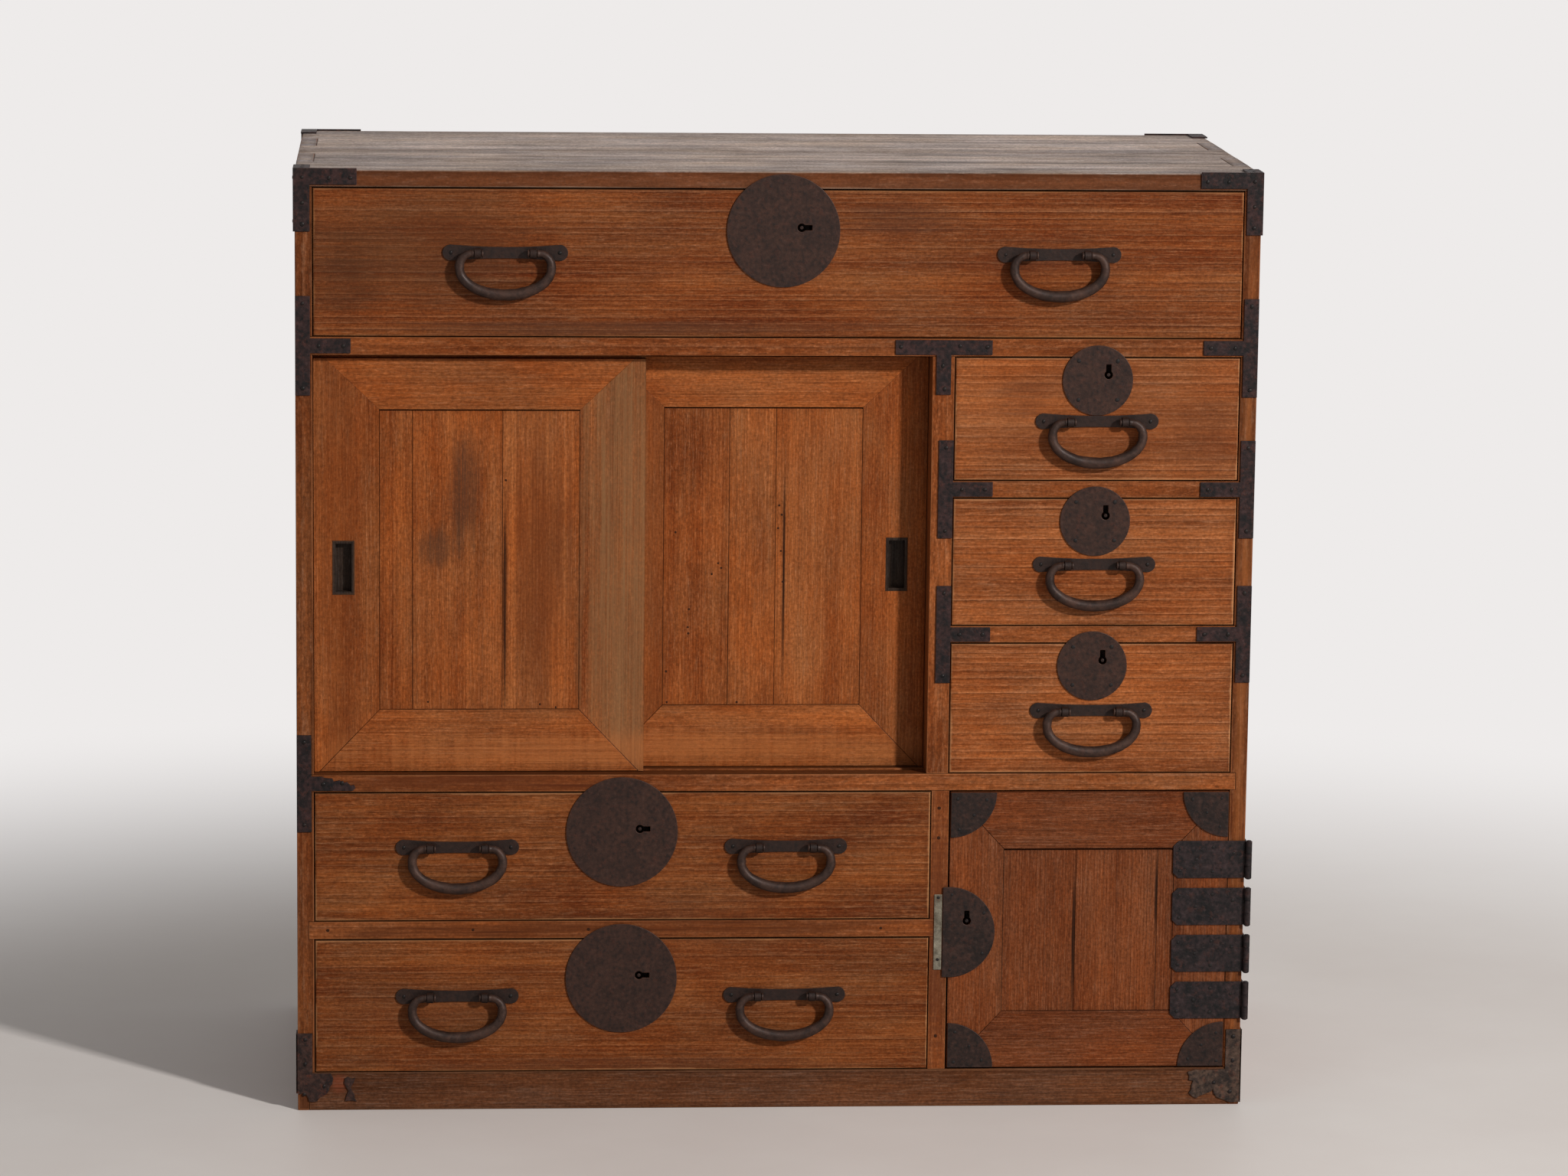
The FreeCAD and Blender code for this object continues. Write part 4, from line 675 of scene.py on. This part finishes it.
LEFT_SILL = [(-455, 367.3), (-455, 273.3), (-441, 273.3), (-441, 313.3), (-402, 313.3), (-399.4, 316),
             (-400.6, 319.2), (-404, 318.4), (-407.4, 322), (-411.6, 320.8), (-414.2, 323.6),
             (-420, 322.4), (-421.2, 325.4), (-428, 325.8), (-431, 327.3), (-441, 327.3), (-441, 367.3)]


FRONTS = {"top": drawer_wood, "lower": lower_wood, "small": small_wood}
DRAWERS = ["top_drawer", "lower_drawer_1", "lower_drawer_2", "small_drawer_1", "small_drawer_2",
           "small_drawer_3"]
for drawer in DRAWERS:
    dress_wood(drawer + "_front", FRONTS[drawer.split("_")[0]], 0.5, ALONG_X)
    dress_wood(drawer + "_box", inner_wood, 0.4)
    dress_iron(drawer + "_ironwork", plate_iron)
for door in ("sliding_door_front", "sliding_door_rear"):
    dress_wood(door + "_frame", slider_wood, 0.8, upright=0.2)
    dress_wood(door + "_panel", slider_wood, 0.12, ALONG_Z, True)
    dress_wood(door + "_pull", pull_wood, 0.5)
dress_wood("hinged_door_frame", door_wood, 0.8, upright=0.2)
dress_wood("hinged_door_panel", door_wood, 0.12, ALONG_Z, True)
dress_iron("hinged_door_ironwork", door_iron)
dress_iron("hinged_door_straps", hinge_iron, 0.3)
dress_iron("hinge_leaves", hinge_iron, 0.3)
dress_iron("tee_irons", case_iron, 0.4, lambda middle: middle.x < 0 and middle.z < 400, [torn(LEFT_SILL)])
dress_iron("door_keeper", keeper_steel, 0.3)
dress_iron("corner_irons", case_iron, 0.4, lambda middle: middle.z < 100)
left_foot = joined("left_foot_iron", [torn(LEFT_FOOT), torn(LEFT_FOOT_BIT), foot_side(-1, 17, 76)])
keep(left_foot, "left_foot_iron", "corner_irons", rusty_iron)
right_foot = joined("right_foot_iron", [torn(RIGHT_FOOT), foot_side(1, 4, 75)])
keep(right_foot, "right_foot_iron", "corner_irons", foot_iron)
for node, finish, ease, grain in (
        ("top_board", top_wood, 1.2, ALONG_X), ("left_side_board", side_wood, 0.8, ALONG_Z),
        ("right_side_board", side_wood, 0.8, ALONG_Z), ("bottom_board", inner_wood, 0.5, ALONG_X),
        ("base_rails", base_wood, 0.8, None), ("back_boards", inner_wood, 1.0, ALONG_X),
        ("upper_rail", rail_wood, 0.6, ALONG_X), ("middle_rail", rail_wood, 0.6, ALONG_X),
        ("short_rails", rail_wood, 0.6, ALONG_X), ("dust_boards", inner_wood, 0.5, ALONG_X),
        ("column_divider", rail_wood, 0.6, ALONG_Z), ("lower_divider", rail_wood, 0.6, ALONG_Z)):
    dress_wood(node, finish, ease, grain)
for node, piece in frame["nodes"].items():
    if node.endswith("_lock_bolt"):
        piece.data.materials.clear()
        piece.data.materials.append(bolt_iron)


# bails
BAIL_SIDES = 20
BAR_FROM = 32
FLATTENED, DINTED = 0.22, 0.07


def bail_path():
    """Points, directions and radii along a hanging bail, in mm from the middle of its pivot."""
    half, drop, bend, neck = 43.0, 39.0, 12.0, 2.0
    pin, shoulder, side, grip = 2.5, 3.2, 4.4, 5.4
    ridge, ridge_long, ridges, round_off, gap = 3.6, 2.0, (20.6, 29.4), 0.35, 0.05
    reach = drop - bend - neck
    level = (1.0, 0.0)
    path = []
    for start in ridges:
        for x, radius in ((0, ridge - round_off), (round_off, ridge), (ridge_long - round_off, ridge),
                          (ridge_long, ridge - round_off)):
            path.append(((start + x, 0.0), level, radius))
        if start == ridges[0]:
            path += [((x, 0.0), level, pin) for x in (start + ridge_long + gap, ridges[1] - gap)]
    for angle in range(9, 91, 9):
        turn = math.radians(angle)
        path.append(((half - bend + bend * math.sin(turn), bend * (math.cos(turn) - 1)),
                     (math.cos(turn), -math.sin(turn)), shoulder + (side - shoulder) * angle / 90))
    for angle in range(0, 91, 5):
        turn = math.radians(angle)
        slope = Vector((-half * math.sin(turn), -reach * math.cos(turn))).normalized()
        path.append(((half * math.cos(turn), -bend - neck - reach * math.sin(turn)), tuple(slope),
                     side + (grip - side) * math.sin(turn) ** 2))
    other = [((-x, z), (dx, -dz), radius) for (x, z), (dx, dz), radius in path[-2::-1]]
    return path + other


def forge_bail(node, x, y, z):
    """A bail drawn out of round bar, with faint hammer facets, in place of its node."""
    draw = random.Random(node)
    shape = bmesh.new()
    rings = []
    for (px, pz), (dx, dz), radius in bail_path():
        normal = Vector((-dz, 0, dx))
        ring = []
        bar = abs(px) > BAR_FROM or pz < -1
        flat = draw.uniform(-FLATTENED, FLATTENED)
        for step in range(BAIL_SIDES):
            turn = 2 * math.pi * step / BAIL_SIDES
            reach = radius + (flat * math.cos(2 * turn) + draw.uniform(-DINTED, DINTED) if bar else 0)
            offset = normal * (reach * math.cos(turn)) + Vector((0, reach * math.sin(turn), 0))
            ring.append(shape.verts.new((Vector((x + px, y, z + pz)) + offset) * MM))
        rings.append(ring)
    for first, second in zip(rings, rings[1:]):
        for step in range(BAIL_SIDES):
            after = (step + 1) % BAIL_SIDES
            shape.faces.new((first[step], second[step], second[after], first[after]))
    shape.faces.new(rings[0])
    shape.faces.new(list(reversed(rings[-1])))
    bmesh.ops.recalc_face_normals(shape, faces=shape.faces)
    for face in shape.faces:
        face.smooth = len(face.verts) == 4
    keep(joined(node + "_forged", [shape]), node + "_forged", node, bail_iron, [node])


PIVOTS = {}
for joint in frame["joints"]:
    if joint["child"].endswith("_bail"):
        pivot = [value / MM for value in joint["pos_m"]]
        PIVOTS[joint["child"]] = pivot
        forge_bail(joint["child"], *pivot)


# nails and pegs
UNEVEN = 0.15


def nail_tree():
    """Hammered nail heads on points, each facing the way that its point says."""
    tree = bpy.data.node_groups.new("nail heads", "GeometryNodeTree")
    tree.interface.new_socket(name="Points", in_out="INPUT", socket_type="NodeSocketGeometry")
    for label, kind, value in (("Radius", "NodeSocketFloat", 2 * MM), ("Height", "NodeSocketFloat", 0.8 * MM),
                               ("Uneven", "NodeSocketFloat", UNEVEN), ("Seed", "NodeSocketInt", 1),
                               ("Finish", "NodeSocketMaterial", None)):
        socket = tree.interface.new_socket(name=label, in_out="INPUT", socket_type=kind)
        if value is not None:
            socket.default_value = value
    tree.interface.new_socket(name="Heads", in_out="OUTPUT", socket_type="NodeSocketGeometry")
    g = Graph(tree)
    given = g.node("NodeGroupInput").outputs
    ball = g.node("GeometryNodeMeshIcoSphere", {"Radius": 1.0, "Subdivisions": 2})
    facing = g.node("GeometryNodeInputNamedAttribute", {"Name": "facing"}, data_type="FLOAT_VECTOR")
    spread = g.node("FunctionNodeRandomValue", data_type="FLOAT_VECTOR")
    for index, value in enumerate((g.minus(1.0, given["Uneven"]), g.plus(1.0, given["Uneven"]))):
        g.feed(spread.inputs[index], g.combined(value, value, value))
    g.feed([socket for socket in spread.inputs if socket.name == "Seed"][0], given["Seed"])
    size = g.combined(given["Radius"], given["Radius"], given["Height"])
    scale = g.vector("MULTIPLY", size, spread.outputs[0])
    turn = g.node("FunctionNodeAlignRotationToVector", {"Vector": facing.outputs[0]}, axis="Z")
    put = g.node("GeometryNodeInstanceOnPoints", {"Points": given["Points"], "Instance": ball.outputs["Mesh"],
                                                  "Rotation": turn.outputs[0], "Scale": scale})
    real = g.node("GeometryNodeRealizeInstances", {0: put.outputs[0]})
    painted = g.node("GeometryNodeSetMaterial", {0: real.outputs[0], "Material": given["Finish"]})
    g.node("NodeGroupOutput", {0: painted.outputs[0]})
    return tree


NAILS = nail_tree()


def drive_nails(name, node, places, size, finish=nail_iron):
    """Nail heads of a size, (radius, height) in mm, as one piece that rides with a node. Each place is
    (x, y, z, facing) in mm."""
    mesh = bpy.data.meshes.new(name + "_points")
    mesh.from_pydata([Vector(place[:3]) * MM for place in places], [], [])
    facing = mesh.attributes.new("facing", "FLOAT_VECTOR", "POINT")
    for count, place in enumerate(places):
        facing.data[count].vector = place[3]
    carrier = bpy.data.objects.new(name + "_points", mesh)
    SCENE.collection.objects.link(carrier)
    modifier = carrier.modifiers.new("nails", "NODES")
    modifier.node_group = NAILS
    radius, height = size
    values = {"Radius": radius * MM, "Height": height * MM, "Uneven": UNEVEN, "Seed": len(name),
              "Finish": finish}
    for item in NAILS.interface.items_tree:
        if item.in_out == "INPUT" and item.name in values:
            modifier[item.identifier] = values[item.name]
    depsgraph = bpy.context.evaluated_depsgraph_get()
    made = bpy.data.meshes.new_from_object(carrier.evaluated_get(depsgraph))
    bpy.data.objects.remove(carrier)
    for face in made.polygons:
        face.use_smooth = True
    keep(made, name, node, finish)


OUT = (0, -1, 0)
UP = (0, 0, 1)

# nail heads and pegs as (radius, height), and places on the cabinet, in mm
CASE_NAIL, HANDLE_NAIL, LOCK_NAIL = (2.0, 0.7), (1.8, 0.7), (2.0, 0.4)
KEEPER_NAIL, PLATE_NAIL = (1.5, 0.3), (1.6, 0.4)
RAIL_PEG, DOOR_PEG = (1.6, 0.2), (1.1, 0.12)
UPPER_RAIL = 739.5
SMALL_RAILS = (604.0, 464.0)
MIDDLE_RAIL = 320.5
DIVIDER_X = 159.5
KEEPER_THICK = 1.2
PANEL_BACK = 0.4
STRAPS = [104.6 + 46.4 * count for count in range(4)]
HANDLE_NAIL_OUT = 51
LOCK_DOWN, LOCK_NAIL_OUT = 21.4, 18.5


def on_iron(x, z):
    """A place on an iron that lies on the front of the case."""
    return (x, CASE_FRONT - IRON, z, OUT)


def on_plate(x, z):
    """A place on a plate that lies on the front of a drawer or door."""
    return (x, PLATE_BACK - IRON, z, OUT)


def on_tee(x, z, along):
    """The nails of a tee iron: two on its arms at x, above and below z, and the others along its stem."""
    return [on_iron(x, z + 40), on_iron(x, z - 40)] + [on_iron(other, z) for other in along]


case_nails = []
for side in (-1, 1):
    outer = HALF_WIDE * side
    edge = outer - side * 7
    case_nails += [on_iron(edge, 898), on_iron(outer - side * 32, 897.5), on_iron(outer - side * 52, 897.5),
                   on_iron(edge, 874), on_iron(edge, 854)]
    case_nails += [(edge, CASE_FRONT + back, TOP + IRON, UP) for back in (8, 27)]
    case_nails += [(outer + side * IRON, CASE_FRONT + 7, z, (side, 0, 0)) for z in (897, 856)]
    for z in (UPPER_RAIL, ) if side < 0 else (UPPER_RAIL, *SMALL_RAILS):
        case_nails += on_tee(edge, z, (outer - side * 22, outer - side * 45))
case_nails += on_tee(-448, MIDDLE_RAIL, ()) + [on_iron(-430, 320), on_iron(-412, 321)]
for z in SMALL_RAILS:
    case_nails += on_tee(DIVIDER_X, z, (175, 197))
case_nails += [on_iron(x, z) for x, z in
               ((115, 740), (171, 741), (197, 740), (155, 722), (157, 700), (-448, 70), (-448, 46),
                (-430, 24), (448, 68), (448, 44), (430, 22), (-449, 16), (446, 13))]
drive_nails("case_nails", "tee_irons", case_nails, CASE_NAIL)
pegs = [(158.5, CASE_FRONT, z, OUT) for z in (294.8, 265.5, 70)]
drive_nails("divider_pegs", "lower_divider", pegs, RAIL_PEG, peg_wood)
pegs = [(x, CASE_FRONT, 177, OUT) for x in (-426, -287.5, -177, 104)]
drive_nails("rail_pegs", "short_rails", pegs, RAIL_PEG, peg_wood)
DOOR_PEGS = {"front": (FRONT_DOOR, [(-224, 394), (-209, 391), (-180, 374.5), (-176, 360), (-378.5, 399),
                                    (-385, 384), (-330.5, 396.5), (-257, 610)]),
             "rear": (REAR_DOOR, [(-95, 557), (-81.5, 482.5), (-82.5, 465), (-82, 459), (-51, 522.5),
                                  (-54, 527), (-103, 422), (4, 583), (6.5, 574), (3, 561), (89, 464.5),
                                  (93, 461.5), (-60, 516.5), (-102, 392), (-35, 392), (88.5, 668), (6, 539),
                                  (8, 509)])}
for door, (front, places) in DOOR_PEGS.items():
    node = "sliding_door_%s_panel" % door
    pegs = [(x, front + PANEL_BACK, z, OUT) for x, z in places]
    drive_nails(node + "_pegs", node, pegs, DOOR_PEG, peg_wood)
drive_nails("keeper_nails", "door_keeper", [(159, CASE_FRONT - KEEPER_THICK, z, OUT) for z in (207, 146)],
            KEEPER_NAIL, hole_iron)
strap_nails = []
for z in STRAPS:
    strap_nails += [on_plate(x, z + dz) for x, dz in
                    ((392, 11), (392, -11), (408, 0), (424, 12), (424, -12), (444, 6))]
drive_nails("strap_nails", "hinged_door_straps", strap_nails, PLATE_NAIL, hole_iron)
door_nails = [on_plate(x, z) for x, z in
              ((176, 304), (204, 303), (178, 274), (192, 288), (431, 304), (403, 303), (430, 276), (417, 290),
               (176, 44), (203, 46), (177, 74), (191, 60), (432, 44), (404, 46), (431, 72), (417, 60),
               (172, 210), (203, 192), (171, 136), (202, 152))]
drive_nails("door_plate_nails", "hinged_door_ironwork", door_nails, PLATE_NAIL, hole_iron)
for drawer in DRAWERS:
    places = []
    for bail, (x, y, z) in PIVOTS.items():
        if bail.startswith(drawer):
            places += [on_plate(x + out, z) for out in (-HANDLE_NAIL_OUT, HANDLE_NAIL_OUT)]
    if drawer.startswith("small"):
        low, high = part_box(drawer + "_front")
        x = (low.x + high.x) / 2 / MM
        z = high.z / MM - LOCK_DOWN
        outs = (-LOCK_NAIL_OUT, LOCK_NAIL_OUT)
        holes = [on_plate(x + dx, z + dz) for dx in outs for dz in outs]
        drive_nails(drawer + "_lock_nails", drawer + "_ironwork", holes, LOCK_NAIL, hole_iron)
    drive_nails(drawer + "_nails", drawer + "_ironwork", places, HANDLE_NAIL)


# floor, light and camera
FLOOR_WIDE = 60
FADE_START, FADE_END = 1.15, 2.5
BACKDROP = (238, 235, 234)
LIGHT_COLOUR = (1.0, 0.98, 0.96)
PHOTO_WIDE = 2048
FOCAL_LENGTH = 7140.87
SENSOR_WIDE = 36
CAMERA_PLACE = (-0.3434, -5.3120, 1.3924)
CAMERA_TURN = (9.792, 3.925, 0.656)


def backdrop_seen(g):
    """One for the rays that show the backdrop: the camera's own, and those off gloss and through glass."""
    path = g.node("ShaderNodeLightPath").outputs
    return g.math("MAXIMUM", path["Is Camera Ray"],
                  g.math("MAXIMUM", path["Is Glossy Ray"], path["Is Transmission Ray"]))


def make_floor():
    """A pale floor that fades into the white round it."""
    bpy.ops.mesh.primitive_plane_add(size=FLOOR_WIDE)
    floor = bpy.context.object
    floor.name = "floor"
    made, g, shader = finish_base("pale floor")
    here = g.here()
    mottle = g.noise(here, 2.2, 5.0, 0.6)
    g.feed(shader.inputs["Base Color"], g.mix(mottle, srgb((212, 203, 198)), srgb((232, 228, 224))))
    shader.inputs["Roughness"].default_value = 0.6
    away = g.vector("LENGTH", g.vector("MULTIPLY", g.vector("ADD", here, (0.0, 0.7, 0.0)), (1.0, 1.0, 0.0)))
    fade = g.remap(away, FADE_START, FADE_END, smooth=True)
    pale = g.node("ShaderNodeEmission", {"Color": srgb(BACKDROP), "Strength": 1.0})
    blend = g.node("ShaderNodeMixShader", {0: g.times(fade, backdrop_seen(g)), 1: shader.outputs[0],
                                           2: pale.outputs[0]})
    g.feed(made.node_tree.nodes["Material Output"].inputs["Surface"], blend.outputs[0])
    floor.data.materials.append(made)


def make_world():
    """An even pale world, seen as near white."""
    world = bpy.data.worlds.new("pale room")
    SCENE.world = world
    world.use_nodes = True
    g = Graph(world.node_tree)
    room = g.node("ShaderNodeBackground", {"Color": LIGHT_COLOUR, "Strength": 0.25})
    backdrop = g.node("ShaderNodeBackground", {"Color": srgb(BACKDROP), "Strength": 1.0})
    blend = g.node("ShaderNodeMixShader", {0: backdrop_seen(g), 1: room.outputs[0], 2: backdrop.outputs[0]})
    g.feed(world.node_tree.nodes["World Output"].inputs["Surface"], blend.outputs[0])


def make_lamp(place, target, size, power):
    """A square soft lamp that points at a target."""
    light = bpy.data.lights.new("window", "AREA")
    light.size = size
    light.energy = power
    light.color = LIGHT_COLOUR
    holder = bpy.data.objects.new("window", light)
    SCENE.collection.objects.link(holder)
    holder.location = place
    holder.rotation_mode = "QUATERNION"
    holder.rotation_quaternion = (Vector(target) - Vector(place)).to_track_quat("-Z", "Y")


def make_camera():
    """The camera of the photograph, fitted to the corners of the case."""
    pitch, yaw, roll = (math.radians(value) for value in CAMERA_TURN)
    forward = Vector((math.sin(yaw) * math.cos(pitch), math.cos(yaw) * math.cos(pitch), -math.sin(pitch)))
    level = Vector((math.cos(yaw), -math.sin(yaw), 0))
    above = level.cross(forward)
    right = math.cos(roll) * level + math.sin(roll) * above
    up = -math.sin(roll) * level + math.cos(roll) * above
    data = bpy.data.cameras.new("camera")
    data.sensor_width = SENSOR_WIDE
    data.lens = FOCAL_LENGTH / PHOTO_WIDE * SENSOR_WIDE
    data.clip_end = 200
    holder = bpy.data.objects.new("camera", data)
    SCENE.collection.objects.link(holder)
    rows = [(right[axis], up[axis], -forward[axis], CAMERA_PLACE[axis]) for axis in range(3)]
    holder.matrix_world = Matrix(rows + [(0, 0, 0, 1)])
    SCENE.camera = holder


make_floor()
make_world()
make_lamp(place=(3.7, -4.6, 3.2), target=(0, -0.2, 0.45), size=0.4, power=404)
make_camera()
SCENE.view_settings.view_transform = "Standard"
